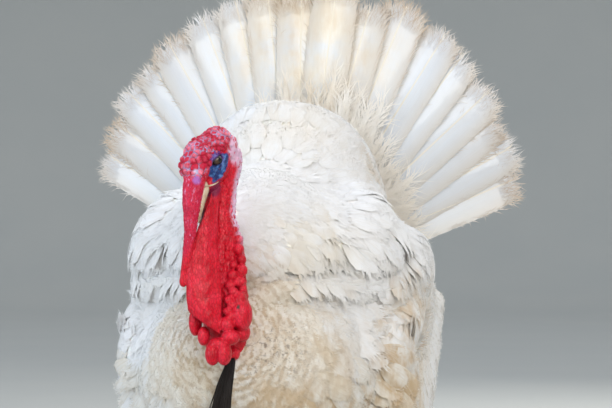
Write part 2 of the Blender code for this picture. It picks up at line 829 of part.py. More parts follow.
def make_beard(torso):
    # coarse bristles in flat tapered locks that fan a little from one root
    root = Vector((0.007, -0.272, 0.350))
    beard = ellipsoid("beard", root + Vector((0, -0.014, 0)), (0.0085, 0.010, 0.012), None, 10, 6)
    locks = []
    for k in range(BEARD_LOCKS):
        spread = (k / (BEARD_LOCKS - 1) - 0.5) * 2
        depth = random.uniform(-1, 1)
        length = BEARD_LENGTH * random.uniform(0.82, 1.0)
        path = [
            root
            + Vector((
                spread * (0.003 + 0.015 * t) + 0.002 * math.sin(6 * t + k),
                -0.018 - 0.016 * min(1, t * 3) + depth * (0.002 + 0.005 * t),
                -length * t,
            ))
            for t in (0, 0.18, 0.48, 0.78, 1.0)
        ]
        locks.append(limb("lock", path, (0.0024, 0.0036, 0.0044, 0.0038, 0.0008), 4, 0.5))
    combine(beard, locks)
    cut_clear(beard, torso)
    return finish(beard, MATERIALS["black"])


def build():
    torso = make_torso()
    head = make_head()
    neck = make_neck()
    cut_clear(neck, torso)
    eyes = make_eyes(head)
    snood = make_snood()
    cut_clear(snood, head)
    cut_clear(neck, head)
    upper, lower = make_beak(head)
    cut_clear(snood, upper)
    cut_clear(upper, neck)
    cut_clear(lower, neck)
    dewlap = make_dewlap()
    cut_clear(dewlap, neck, lower, head)
    cut_clear(dewlap, upper, snood)
    for thing in (head, neck, snood, dewlap):
        finish(thing, MATERIALS["red"])
    beard = make_beard(torso)
    cut_clear(beard, neck)
    make_tail(torso)
    for side, sign in (("left", 1), ("right", -1)):
        make_wing(side, sign, torso)
        thigh = make_thigh(side, sign, torso)
        shank = make_leg(side, sign, thigh)
        make_foot(side, sign, shank)


random.seed(7)
clear_scene()
PARTS = new_collection("turkey")
MATERIALS = {
    "white": new_material("white_feather", WHITE, 0.75),
    "red": new_material("red_skin", RED, 0.45),
    "horn": new_material("horn", HORN, 0.40),
    "leg": new_material("leg_skin", LEG, 0.55),
    "black": new_material("black", BLACK, 0.35),
}
build()
for part in PARTS.objects:
    part.data.transform(Matrix.Translation(CENTRING))
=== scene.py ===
# White turkey cock in full strut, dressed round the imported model.
# Metres, Z up; the bird faces -Y and its left side is +X.
import math

import bmesh
import bpy
import numpy as np
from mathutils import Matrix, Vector
from mathutils.bvhtree import BVHTree


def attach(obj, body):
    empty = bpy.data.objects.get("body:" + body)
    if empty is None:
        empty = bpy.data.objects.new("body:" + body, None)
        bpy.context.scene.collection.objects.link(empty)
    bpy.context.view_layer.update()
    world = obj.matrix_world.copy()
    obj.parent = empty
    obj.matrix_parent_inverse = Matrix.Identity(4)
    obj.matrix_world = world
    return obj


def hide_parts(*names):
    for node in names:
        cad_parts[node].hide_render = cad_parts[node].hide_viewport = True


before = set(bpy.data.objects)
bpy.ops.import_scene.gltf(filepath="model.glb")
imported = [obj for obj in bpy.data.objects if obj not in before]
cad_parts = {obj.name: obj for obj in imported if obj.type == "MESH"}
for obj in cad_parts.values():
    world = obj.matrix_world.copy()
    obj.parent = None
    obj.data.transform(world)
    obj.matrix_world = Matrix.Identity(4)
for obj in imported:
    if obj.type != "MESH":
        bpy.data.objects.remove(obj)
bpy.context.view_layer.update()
rng = np.random.default_rng(11)
shift = np.array([0.006, 0.024, 0.0])  # the part's CENTRING: places below are before it


def placed(place):
    return np.array(place) + shift


# camera and stage
view = {"target": (0.051, 0.024, 0.55), "azimuth": 12.0, "distance": 3.2, "lens": 129.8}
studio = {
    "floor": (0.42, 0.43, 0.41),
    "floorWarm": (0.46, 0.46, 0.43),
    "world": (0.85, 0.91, 1.0),
    "worldStrength": 1.0,
    "flat": 8.0, "bend": 2.8, "wall": (4.6, 6.4), "sides": 96,  # the floor's radius, its bend, the wall's rings
    "lights": (  # name, place, size, watts, colour
        ("key", (2.0, -3.0, 2.0), 2.0, 78, (1.0, 0.95, 0.89)),
        ("fill", (-2.9, -2.6, 1.0), 2.6, 94, (0.76, 0.87, 1.0)),
        ("low", (0.6, -2.6, 0.25), 1.6, 22, (1.0, 0.96, 0.9)),
        ("top", (0.2, -0.2, 3.2), 2.0, 16, (0.99, 0.99, 1.0)),
        ("rim", (0.9, 2.8, 1.9), 1.6, 45, (1.0, 0.98, 0.94)),
    ),
}


def addObject(name, data, place=None):
    # with a place, it is put there and turned to face the view's target
    made = bpy.data.objects.new(name, data)
    bpy.context.scene.collection.objects.link(made)
    if place is not None:
        made.location = place
        aim = Vector(view["target"]) - made.location
        made.rotation_euler = aim.to_track_quat("-Z", "Y").to_euler()
    return made


def makeCamera():
    turn = math.radians(view["azimuth"])
    data = bpy.data.cameras.new("camera")
    data.lens = view["lens"]
    data.dof.use_dof = False
    away = Vector((math.sin(turn), -math.cos(turn), 0)) * view["distance"]
    bpy.context.scene.camera = addObject("camera", data, Vector(view["target"]) + away)


def makeLights():
    for name, place, size, watts, colour in studio["lights"]:
        data = bpy.data.lights.new(name, "AREA")
        data.size = size
        data.energy = watts
        data.color = colour
        addObject(name, data, place)
    world = bpy.data.worlds.new("world")
    world.use_nodes = True
    given = world.node_tree.nodes["Background"].inputs
    given["Color"].default_value = (*studio["world"], 1)
    given["Strength"].default_value = studio["worldStrength"]
    bpy.context.scene.world = world


makeCamera()
makeLights()
bpy.context.scene.view_settings.view_transform = "Standard"
print("camera and lights")


# mesh helpers
def newObject(name, points, faces, smooth=True):
    # faces is one array of corner numbers, or a list of such arrays
    groups = faces if isinstance(faces, list) else [faces]
    rows = [row for group in groups for row in group.tolist()]
    mesh = bpy.data.meshes.new(name)
    mesh.from_pydata(points.reshape(-1, 3).tolist(), [], rows)
    mesh.polygons.foreach_set("use_smooth", np.full(len(rows), smooth))
    return addObject(name, mesh)


def corners(thing):
    found = np.empty(len(thing.data.vertices) * 3)
    thing.data.vertices.foreach_get("co", found)
    return found.reshape(-1, 3)


def setCorners(thing, points):
    thing.data.vertices.foreach_set("co", points.ravel())


def normalsOf(thing):
    found = np.empty(len(thing.data.vertices) * 3)
    thing.data.vertices.foreach_get("normal", found)
    return found.reshape(-1, 3)


def putUv(thing, name, perVertex):
    layer = thing.data.uv_layers.new(name=name)
    index = np.empty(len(thing.data.loops), dtype=np.int32)
    thing.data.loops.foreach_get("vertex_index", index)
    layer.data.foreach_set("uv", perVertex.reshape(-1, 2)[index].ravel())


def putValue(thing, name, perVertex):
    layer = thing.data.attributes.new(name, "FLOAT", "POINT")
    layer.data.foreach_set("value", np.ascontiguousarray(perVertex, dtype=np.float32).ravel())


def putNormals(thing, perVertex):
    # each corner takes its point's given normal, turned to its own face's side
    mesh = thing.data
    index = np.empty(len(mesh.loops), dtype=np.int32)
    total = np.empty(len(mesh.polygons), dtype=np.int32)
    flat = np.empty(len(mesh.polygons) * 3)
    mesh.loops.foreach_get("vertex_index", index)
    mesh.polygons.foreach_get("loop_total", total)
    mesh.polygons.foreach_get("normal", flat)
    wanted = perVertex[index]
    outward = (wanted * np.repeat(flat.reshape(-1, 3), total, axis=0)).sum(1, keepdims=True)
    mesh.normals_split_custom_set((wanted * np.where(outward < 0, -1.0, 1.0)).tolist())


def unit(v):
    return v / np.maximum(np.linalg.norm(v, axis=-1, keepdims=True), 1e-9)


def norms(v):
    return np.linalg.norm(v, axis=1)


def smoothstep(low, high, x):
    t = np.clip((x - low) / (high - low), 0, 1)
    return t * t * (3 - 2 * t)


def applyModifiers(thing):
    graph = bpy.context.evaluated_depsgraph_get()
    mesh = bpy.data.meshes.new_from_object(thing.evaluated_get(graph))
    thing.modifiers.clear()
    thing.data = mesh
    return thing


def thinTo(thing, triangles):
    thin = thing.modifiers.new("thin", "DECIMATE")
    thin.ratio = min(1.0, triangles / (2 * len(thing.data.polygons)))
    return applyModifiers(thing)


def remove(*things):
    for thing in things:
        bpy.data.objects.remove(thing, do_unlink=True)


def gridFaces(rows, columns, closed=False):
    # quads of a grid of rows x columns points; closed joins the last column to the first
    i, j = np.meshgrid(np.arange(rows - 1), np.arange(columns if closed else columns - 1), indexing="ij")
    a = i * columns + j
    b = i * columns + (j + 1) % columns
    return np.stack([a, b, b + columns, a + columns], -1).reshape(-1, 4)


def manyFaces(template, count, size):
    # one piece's faces, repeated for count pieces of size points each
    return (template[None] + (np.arange(count) * size)[:, None, None]).reshape(-1, template.shape[1])


def domed(border, wide):
    # a round shoulder: 0 at the border, 1 from this width on
    return np.sqrt(1 - (1 - np.clip(border / wide, 0, 1)) ** 2)


def ball(centre, radii, turn=None, columns=28, rows=16):
    # a ball's point = centre + turn . (radii x (cos u sin v, sin u sin v, cos v))
    u = np.linspace(0, 2 * np.pi, columns, endpoint=False)
    v = np.linspace(0.02, np.pi - 0.02, rows)[:, None]
    p = np.stack([np.cos(u) * np.sin(v), np.sin(u) * np.sin(v), np.cos(v) + 0 * u], -1) * radii
    if turn is not None:
        p = p @ np.asarray(turn).T
    last = rows * columns - 1
    caps = [np.arange(columns)[::-1], np.arange(last - columns + 1, last + 1)]
    return p.reshape(-1, 3) + centre, gridFaces(rows, columns, True), caps


def curveThrough(places, count):
    # a smooth line through the places: cubic in each stretch, with slopes from the neighbours
    places = np.asarray(places, float)
    n = len(places)
    slope = np.gradient(places, axis=0)
    s = np.linspace(0, n - 1, count)
    k = np.minimum(s.astype(int), n - 2)
    f = (s - k)[:, None]
    a, b, da, db = places[k], places[k + 1], slope[k], slope[k + 1]
    return (
        a * (1 + 2 * f) * (1 - f) ** 2 + da * f * (1 - f) ** 2
        + b * f * f * (3 - 2 * f) - db * f * f * (1 - f)
    )


def tubeFrame(line, hint):
    # for each point of a line: the way ahead, and two ways square to it
    ahead = unit(np.gradient(line, axis=0))
    across = unit(hint - ahead * (ahead @ hint)[:, None])
    return ahead, across, np.cross(ahead, across)


def tube(places, radii, count, sides, flat=1.0, hint=(1.0, 0.0, 0.0), relief=None):
    # a tube's point = line(v) + radius(v) . (across cos u + flat . up sin u), plus relief(u, v) outwards
    line = curveThrough(places, count)
    size = curveThrough(np.asarray(radii, float)[:, None], count)
    _, across, up = tubeFrame(line, np.asarray(hint, float))
    u = np.linspace(0, 2 * np.pi, sides, endpoint=False)
    v = np.linspace(0, 1, count)[:, None]
    out = across[:, None] * np.cos(u)[None, :, None] + up[:, None] * (flat * np.sin(u))[None, :, None]
    reach = np.maximum(size, 0.0002) + (relief(u[None], v) if relief else 0 * u[None])
    points = line[:, None] + out * reach[..., None]
    last = count * sides - 1
    caps = [np.arange(sides)[::-1], np.arange(last - sides + 1, last + 1)]
    return points.reshape(-1, 3), gridFaces(count, sides, True), caps


def joinForms(name, forms):
    # forms are (points, quads, caps): joined as they are into one mesh
    points, faces, start = [], [], 0
    for p, quads, caps in forms:
        points.append(p)
        faces.append(quads + start)
        faces += [cap[None] + start for cap in caps]
        start += len(p)
    return newObject(name, np.concatenate(points), faces)


def fuse(thing, voxel, smoothing):
    remesh = thing.modifiers.new("skin", "REMESH")
    remesh.mode = "VOXEL"
    remesh.voxel_size = voxel
    ease = thing.modifiers.new("ease", "SMOOTH")
    ease.iterations = smoothing
    return applyModifiers(thing)


def copyOf(names):
    # the CAD nodes of these names, merged, as one new mesh
    shell = bmesh.new()
    for name in names:
        shell.from_mesh(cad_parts[name].data)
    bmesh.ops.remove_doubles(shell, verts=shell.verts, dist=0.00002)
    mesh = bpy.data.meshes.new("copy")
    shell.to_mesh(mesh)
    shell.free()
    return addObject("copy", mesh)


def surfacePlaces(thing, count):
    # places spread evenly over the surface, with the skin's normal at each
    mesh = thing.data
    mesh.calc_loop_triangles()
    tris = np.empty(len(mesh.loop_triangles) * 3, dtype=np.int32)
    mesh.loop_triangles.foreach_get("vertices", tris)
    tris = tris.reshape(-1, 3)
    points, normals = corners(thing), normalsOf(thing)
    a, b, c = (points[tris[:, k]] for k in range(3))
    area = norms(np.cross(b - a, c - a))
    pick = rng.choice(len(tris), count, p=area / area.sum())
    r, s = rng.uniform(0, 1, (2, count))
    flip = r + s > 1
    r, s = np.where(flip, 1 - r, r), np.where(flip, 1 - s, s)
    share = np.stack([1 - r - s, r, s], -1)[..., None]
    return (points[tris[pick]] * share).sum(1), unit((normals[tris[pick]] * share).sum(1))


def someOf(values, index):
    return {key: value[index] for key, value in values.items()}


def spreadOut(points, spacing):
    # keeps places in a random order, each at least its own spacing from those kept before
    cell = spacing.max()
    keys = np.floor(points / cell).astype(int)
    kept, grid = [], {}
    near = [(i, j, k) for i in (-1, 0, 1) for j in (-1, 0, 1) for k in (-1, 0, 1)]
    for index, (key, point, gap) in enumerate(zip(map(tuple, keys), points, spacing)):
        clear = True
        for i, j, k in near:
            for other in grid.get((key[0] + i, key[1] + j, key[2] + k), ()):
                if ((points[other] - point) ** 2).sum() < gap * gap:
                    clear = False
                    break
            if not clear:
                break
        if clear:
            grid.setdefault(key, []).append(index)
            kept.append(index)
    return np.array(kept)


def finishPiece(thing, material, slotName, *nodes):
    thing.data.materials.clear()
    thing.data.materials.append(material)
    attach(thing, "root")
    if nodes:
        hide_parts(*nodes)
    return thing


# materials: shared effects are node groups with named inputs and outputs
def newGroup(name, inputs, outputs):
    group = bpy.data.node_groups.new(name, "ShaderNodeTree")
    for label, kind, value in inputs:
        socket = group.interface.new_socket(label, in_out="INPUT", socket_type="NodeSocket" + kind)
        if value is not None:
            socket.default_value = value
    for label, kind in outputs:
        group.interface.new_socket(label, in_out="OUTPUT", socket_type="NodeSocket" + kind)
    return group, group.nodes.new("NodeGroupInput"), group.nodes.new("NodeGroupOutput")


def closeGroup(group, out, **values):
    for label, value in values.items():
        group.links.new(value, out.inputs[label])
    return group


def addNode(tree, kind, inputs=None, **settings):
    made = tree.nodes.new("ShaderNode" + kind)
    for key, value in settings.items():
        setattr(made, key, value)
    for key, value in (inputs or {}).items():
        socket = made.inputs[key]
        if isinstance(value, bpy.types.NodeSocket):
            tree.links.new(value, socket)
        else:
            socket.default_value = value
    return made


def attributeOf(tree, name):
    return addNode(tree, "Attribute", attribute_name=name).outputs["Fac"]


def maths(tree, operation, *values, clamp=False):
    made = tree.nodes.new("ShaderNodeMath")
    made.operation = operation
    made.use_clamp = clamp
    for k, value in enumerate(values):
        if isinstance(value, bpy.types.NodeSocket):
            tree.links.new(value, made.inputs[k])
        else:
            made.inputs[k].default_value = value
    return made.outputs[0]


def times(tree, a, b, clamp=False):
    return maths(tree, "MULTIPLY", a, b, clamp=clamp)


def blendColours(tree, share, low, high, kind="MIX"):
    made = addNode(tree, "Mix", data_type="RGBA", blend_type=kind)
    for socket, value in ((made.inputs[0], share), (made.inputs[6], low), (made.inputs[7], high)):
        if isinstance(value, bpy.types.NodeSocket):
            tree.links.new(value, socket)
        else:
            socket.default_value = value if isinstance(value, float) else (*value, 1.0)
    return made.outputs[2]


def taller(tree, place, share):
    # the place with its height multiplied by the share, which stretches a pattern upright
    split = addNode(tree, "SeparateXYZ", {0: place}).outputs
    return addNode(tree, "CombineXYZ", {0: split[0], 1: split[1], 2: times(tree, split[2], share)}).outputs[0]


def cells(tree, place, scale, uneven, feature="F1"):
    return addNode(
        tree, "TexVoronoi", {"Vector": place, "Scale": scale, "Randomness": uneven}, feature=feature,
    ).outputs["Distance"]


def noise(tree, place, scale, detail=3.0, rough=0.55, stretch=None):
    if stretch is not None:
        place = addNode(tree, "Mapping", {"Vector": place, "Scale": stretch}).outputs[0]
    return addNode(
        tree, "TexNoise", {"Vector": place, "Scale": scale, "Detail": detail, "Roughness": rough}
    ).outputs["Fac"]


def ramp(tree, value, low, high):
    # 0 below low, 1 above high, eased between
    return addNode(
        tree, "MapRange", {"Value": value, "From Min": low, "From Max": high},
        interpolation_type="SMOOTHSTEP",
    ).outputs["Result"]


def fromTo(tree, value, low, high):
    # low where the value is 0, high where it is 1
    return addNode(tree, "MapRange", {"Value": value, "To Min": low, "To Max": high}).outputs["Result"]


plumage = {
    "cream": (0.86, 0.79, 0.66),
    "tan": (0.62, 0.45, 0.27),
    "stains": (  # place before the shift, spread, share of cream, share of tan
        ((0.0, -0.02, 0.66), (0.17, 0.2, 0.13), 0.55, 0.06),
        ((0.145, 0.06, 0.6), (0.035, 0.1, 0.1), 0.85, 0.4),
        ((0.1, -0.2, 0.5), (0.06, 0.12, 0.06), 0.75, 0.1),
        ((0.1, -0.22, 0.462), (0.11, 0.12, 0.04), 0.7, 0.12),
        ((0.12, -0.24, 0.365), (0.12, 0.12, 0.1), 0.9, 0.4),
        ((-0.035, -0.27, 0.32), (0.08, 0.08, 0.07), 1.0, 0.5),
        ((0.2, 0.0, 0.34), (0.07, 0.16, 0.14), 1.0, 0.75),
        ((0.19, -0.03, 0.29), (0.06, 0.14, 0.09), 1.0, 1.2),
        ((0.13, -0.1, 0.25), (0.15, 0.18, 0.09), 0.95, 0.85),
        ((0.04, -0.24, 0.265), (0.14, 0.12, 0.08), 0.95, 1.15),
        ((-0.01, 0.25, 0.8), (0.17, 0.14, 0.17), 0.95, 0.26),
    ),
    "rows": ((-0.004, -0.285, 0.372), (0.15, 0.14, 0.125), 0.0128, 0.9),  # centre, spread, step and share
    "rowColour": (0.47, 0.32, 0.17),
    "speck": ((0.062, -0.27, 0.352), (0.06, 0.08, 0.05)),
    "speckColour": (0.2, 0.15, 0.13),
}


def makePlumageMarks():
    # soiled plumage: patches of cream and tan by place, broken by cloudy noise, and a field of dark specks
    group, given, out = newGroup(
        "plumageMarks",
        [
            ("Place", "Vector", None),
            ("White", "Color", (0.88, 0.88, 0.88, 1)),
            ("Wash", "Float", 0.0),
        ],
        [("Color", "Color"), ("Mask", "Float")],
    )
    place = given.outputs["Place"]

    def patch(centre, spread):
        away = addNode(
            group, "Mapping",
            {
                "Vector": place,
                "Location": [-(c + s) / r for c, s, r in zip(centre, shift, spread)],
                "Scale": [1 / r for r in spread],
            },
        ).outputs[0]
        length = addNode(group, "VectorMath", {0: away}, operation="LENGTH").outputs["Value"]
        return ramp(group, length, 1.25, 0.25)

    cloud = noise(group, place, 13.0, 4.0, 0.62)
    streak = noise(group, place, 52.0, 3.0, 0.6, (1.0, 1.0, 0.35))
    cream, tan = given.outputs["Wash"], 0.0
    for centre, spread, creamShare, tanShare in plumage["stains"]:
        near = patch(centre, spread)
        cream = maths(group, "MAXIMUM", cream, times(group, near, creamShare))
        tan = maths(group, "MAXIMUM", tan, times(group, near, tanShare))
    cream = times(group, cream, ramp(group, cloud, 0.22, 0.66))
    uneven = ramp(group, times(group, cloud, streak), 0.13, 0.42)
    tan = times(group, tan, times(group, uneven, 1.9), clamp=True)
    colour = blendColours(group, cream, given.outputs["White"], plumage["cream"])
    centre, spread, step, share = plumage["rows"]
    near = patch(centre, spread)
    tan = times(group, tan, maths(group, "SUBTRACT", 1.0, times(group, near, 0.35)))
    colour = blendColours(group, tan, colour, plumage["tan"])
    # small feathers' golden edges, as rings of the distance from the wattle's foot, bent and broken by noise
    away = addNode(group, "VectorMath", {0: place, 1: [-c - s for c, s in zip(centre, shift)]}).outputs[0]
    away = addNode(group, "VectorMath", {0: away}, operation="LENGTH").outputs["Value"]
    fine = noise(group, place, 75.0, 2.0, 0.6)
    phase = maths(group, "ADD", times(group, away, 2 * math.pi / step), times(group, cloud, 12.0))
    phase = maths(group, "ADD", phase, times(group, fine, 4.5))
    ring = ramp(group, maths(group, "SINE", phase), -0.2, 0.9)
    ring = times(group, ring, ramp(group, streak, 0.3, 0.54))
    colour = blendColours(group, times(group, times(group, ring, near), share), colour, plumage["rowColour"])
    grit = ramp(group, noise(group, place, 150.0, 2.0, 0.7), 0.5, 0.66)
    field = patch(*plumage["speck"])
    specks = times(group, times(group, grit, field), 0.85)
    colour = blendColours(group, specks, colour, plumage["speckColour"])
    return closeGroup(group, out, Color=colour, Mask=maths(group, "MAXIMUM", cream, tan))


def makeBarbLines():
    # a vane's fine barbs run out and forward from the shaft: stripes of (along - slant x |across|)
    group, given, out = newGroup(
        "barbLines",
        [
            ("Vane", "Vector", None),
            ("Count", "Float", 60.0),
            ("Slant", "Float", 0.5),
            ("Shaft Width", "Float", 0.05),
        ],
        [("Lines", "Float"), ("Shaft", "Float"), ("Edge", "Float")],
    )
    split = addNode(group, "SeparateXYZ", {0: given.outputs["Vane"]})
    across = maths(group, "ABSOLUTE", maths(group, "SUBTRACT", split.outputs[0], 0.5))
    waver = noise(group, given.outputs["Vane"], 7.0, 2.0)
    phase = maths(group, "SUBTRACT", split.outputs[1], times(group, across, given.outputs["Slant"]))
    phase = maths(group, "ADD", phase, times(group, waver, 0.03))
    angle = times(group, phase, times(group, given.outputs["Count"], 2 * math.pi))
    lines = maths(group, "MULTIPLY_ADD", maths(group, "SINE", angle), 0.5, 0.5)
    shaft = addNode(
        group, "MapRange",
        {"Value": across, "From Min": given.outputs["Shaft Width"], "From Max": 0.0},
    ).outputs["Result"]
    return closeGroup(group, out, Lines=lines, Shaft=shaft, Edge=ramp(group, across, 0.16, 0.52))


plumageMarks = makePlumageMarks()
barbLines = makeBarbLines()


def newMaterial(name, **constants):
    made = bpy.data.materials.new(name)
    made.use_nodes = True
    shader = made.node_tree.nodes["Principled BSDF"]
    for key, value in constants.items():
        shader.inputs[key.replace("_", " ")].default_value = value
    return made, made.node_tree, shader


def bumpInto(tree, shader, height, strength, distance):
    made = addNode(tree, "Bump", {"Height": height, "Strength": strength, "Distance": distance})
    tree.links.new(made.outputs[0], shader.inputs["Normal"])


def makeFeatherMaterial(name, look):
    # the marks by place, then each feather's own tone, shaft, barb lines, edges and worn tips; the edges' tint
    # is partly painted shade
    made, tree, shader = newMaterial(
        name, Roughness=look["rough"], Specular_IOR_Level=0.25, Sheen_Weight=look["sheen"], Sheen_Roughness=0.6,
        Subsurface_Weight=look["glow"], Subsurface_Scale=1.0, Subsurface_Radius=(0.009, 0.0082, 0.0072),
    )
    place = addNode(tree, "TexCoord").outputs["Object"]
    vane = addNode(tree, "UVMap", uv_map="vane").outputs[0]
    tone = attributeOf(tree, "tone")
    # each feather reads the marks from a place a little aside, so that stains end along feathers
    aside = addNode(tree, "VectorMath", {0: addNode(tree, "CombineXYZ", {
        0: maths(tree, "SINE", times(tree, tone, 40.0)), 1: 0.0,
        2: maths(tree, "SINE", times(tree, tone, 97.0)),
    }).outputs[0], 1: (look["aside"],) * 3}, operation="MULTIPLY").outputs[0]
    marks = addNode(tree, "Group", {
        "Place": addNode(tree, "VectorMath", {0: place, 1: aside}).outputs[0],
        "White": (*look["white"], 1), "Wash": look["wash"],
    }, node_tree=plumageMarks)
    lines = addNode(tree, "Group", {
        "Vane": vane, "Count": look["barbs"], "Slant": look["slant"], "Shaft Width": look["shaftWidth"],
    }, node_tree=barbLines)
    tip = attributeOf(tree, "tip")
    colour = marks.outputs["Color"]
    split = addNode(tree, "SeparateXYZ", {0: vane})
    fibre = addNode(tree, "CombineXYZ", {
        0: times(tree, split.outputs[0], look["fibres"]), 1: times(tree, split.outputs[1], 2.4),
        2: times(tree, tone, 37.0),
    }).outputs[0]
    fibre = ramp(tree, noise(tree, fibre, 1.0, 2.0, 0.65), 0.56, 0.34)
    colour = blendColours(tree, times(tree, fibre, look["fibreShare"]), colour, look["fibreColour"])
    colour = blendColours(tree, times(tree, tone, look["toneShare"]), colour, look["toneColour"], "MULTIPLY")
    shaft = times(tree, lines.outputs["Shaft"], look["shaftShare"])
    colour = blendColours(tree, shaft, colour, look["shaftColour"])
    dim = times(tree, maths(tree, "SUBTRACT", 1.0, lines.outputs["Lines"]), look["lineShare"])
    colour = blendColours(tree, dim, colour, (0.45, 0.4, 0.33))
    # vane edges tinted: partly the edges' own beige or golden colour, partly painted shade where the
    # neighbouring feather overlaps
    edge = times(tree, lines.outputs["Edge"], look["edgeTintAndShadeShare"])
    colour = blendColours(tree, edge, colour, look["edgeTintAndShadeColour"])
    worn = times(tree, tip, maths(tree, "ADD", look["tipShare"] * 0.45, times(tree, tone, look["tipShare"])))
    colour = blendColours(tree, worn, colour, look["tipColour"])
    tree.links.new(colour, shader.inputs["Base Color"])
    bumpInto(tree, shader, lines.outputs["Lines"], 0.35, 0.0006)
    return made


# one skin under the coat: body, thighs and wing arms, then neck, head, snood and dewlap
bodySkin = {"voxel": 0.0062, "smoothing": 10, "coatDepth": 0.011, "rootDepth": 0.0018}
wingArm = (  # centre and radii on the left side, and the tilt about X
    ((0.168, 0.062, 0.452), (0.052, 0.094, 0.07), 0.0),
    ((0.186, 0.008, 0.392), (0.027, 0.112, 0.05), 0.42),
    ((0.172, -0.066, 0.336), (0.04, 0.05, 0.062), 0.0),
    ((0.164, -0.04, 0.29), (0.044, 0.06, 0.085), 0.0),
    ((0.186, -0.056, 0.272), (0.024, 0.034, 0.062), 0.0),
)


def turnAbout(axis, angle):
    c, s = math.cos(angle), math.sin(angle)
    if axis == "x":
        return np.array([[1, 0, 0], [0, c, -s], [0, s, c]])
    return np.array([[c, -s, 0], [s, c, 0], [0, 0, 1]])


def mirrored(place, sign):
    return np.array([place[0] * sign, place[1], place[2]])


fold = {  # the chest's plumage overhangs the breast along a line of |x| and height
    "line": (
        (0.0, 0.43), (0.02, 0.44), (0.05, 0.455), (0.08, 0.468), (0.11, 0.47), (0.14, 0.458), (0.17, 0.459),
        (0.2, 0.49),
    ),
    "over": 0.011, "gap": 0.008, "under": 0.012,
    "lobe": (0.146, 0.525, 0.036, 0.056, 0.011), "valley": (0.106, 0.505, 0.016, 0.05, -0.005),
    "ring": (0.02, 0.534, 0.118),
}


def foldLine(q):
    line = np.array(fold["line"])
    return np.interp(np.abs(q[:, 0]), line[:, 0], line[:, 1])


def foldRelief(q):
    # how far the skin stands out: a roll over the fold's line, a furrow along it, the breast's edge under it,
    # a lobe beside the chest with a valley before it, and a shallow ring across the mantle, as bell curves
    x, z = np.abs(q[:, 0]), q[:, 2]
    over = z - foldLine(q)
    bell = lambda away, wide: np.exp(-(away / wide) ** 2)
    rise = fold["over"] * bell(over - 0.03, 0.022) - fold["gap"] * bell(over, 0.009)
    rise = rise + fold["under"] * bell(over + 0.024, 0.018)
    for centreX, centreZ, wideX, wideZ, height in (fold["lobe"], fold["valley"]):
        rise = rise + height * bell(x - centreX, wideX) * bell(z - centreZ, wideZ)
    rise = rise * smoothstep(0.03, -0.07, q[:, 1])
    away = np.hypot(x - fold["ring"][0], z - fold["ring"][1]) - fold["ring"][2]
    ring = -0.005 * bell(away, 0.011) + 0.004 * bell(away - 0.026, 0.013)
    return rise + ring * smoothstep(0.585, 0.625, z) * smoothstep(0.1, 0.04, q[:, 1])


def makeBodySkin():
    flesh = copyOf(["torso", "thigh_left", "thigh_right"])
    inset = flesh.modifiers.new("remesh", "REMESH")
    inset.mode = "VOXEL"
    inset.voxel_size = bodySkin["voxel"]
    applyModifiers(flesh)
    setCorners(flesh, corners(flesh) - normalsOf(flesh) * bodySkin["coatDepth"])
    forms = []
    for sign in (1, -1):
        for centre, radii, tilt in wingArm:
            forms.append(ball(mirrored(centre, sign) + shift, radii, turnAbout("x", tilt)))
    arms = joinForms("arms", forms)
    whole = bpy.data.meshes.new("skin")
    shell = bmesh.new()
    shell.from_mesh(flesh.data)
    shell.from_mesh(arms.data)
    shell.to_mesh(whole)
    shell.free()
    remove(flesh, arms)
    made = fuse(addObject("bodySkin", whole), bodySkin["voxel"], bodySkin["smoothing"])
    points = corners(made)
    points = points + normalsOf(made) * foldRelief(points - shift)[:, None]
    setCorners(made, points)
    made.data.update()
    return made


# the head's own frame: forward, left and up, turned to the bird's right and nodded down
headAt = {"centre": (-0.022, -0.29, 0.61), "yaw": 28.0, "pitch": 56.0}


def headTurn():
    yaw, pitch = math.radians(headAt["yaw"]), math.radians(headAt["pitch"])
    turn = turnAbout("z", -yaw)
    left = turn @ np.array([1.0, 0, 0])
    forward = turn @ np.array([0, -1.0, 0]) * math.cos(pitch) - np.array([0, 0, math.sin(pitch)])
    return np.stack([forward, left, np.cross(forward, left)], 1)


headBasis = headTurn()
headCentre = placed(headAt["centre"])


def fromHead(local):
    return np.asarray(local) @ headBasis.T + headCentre


def toHead(world):
    return (world - headCentre) @ headBasis


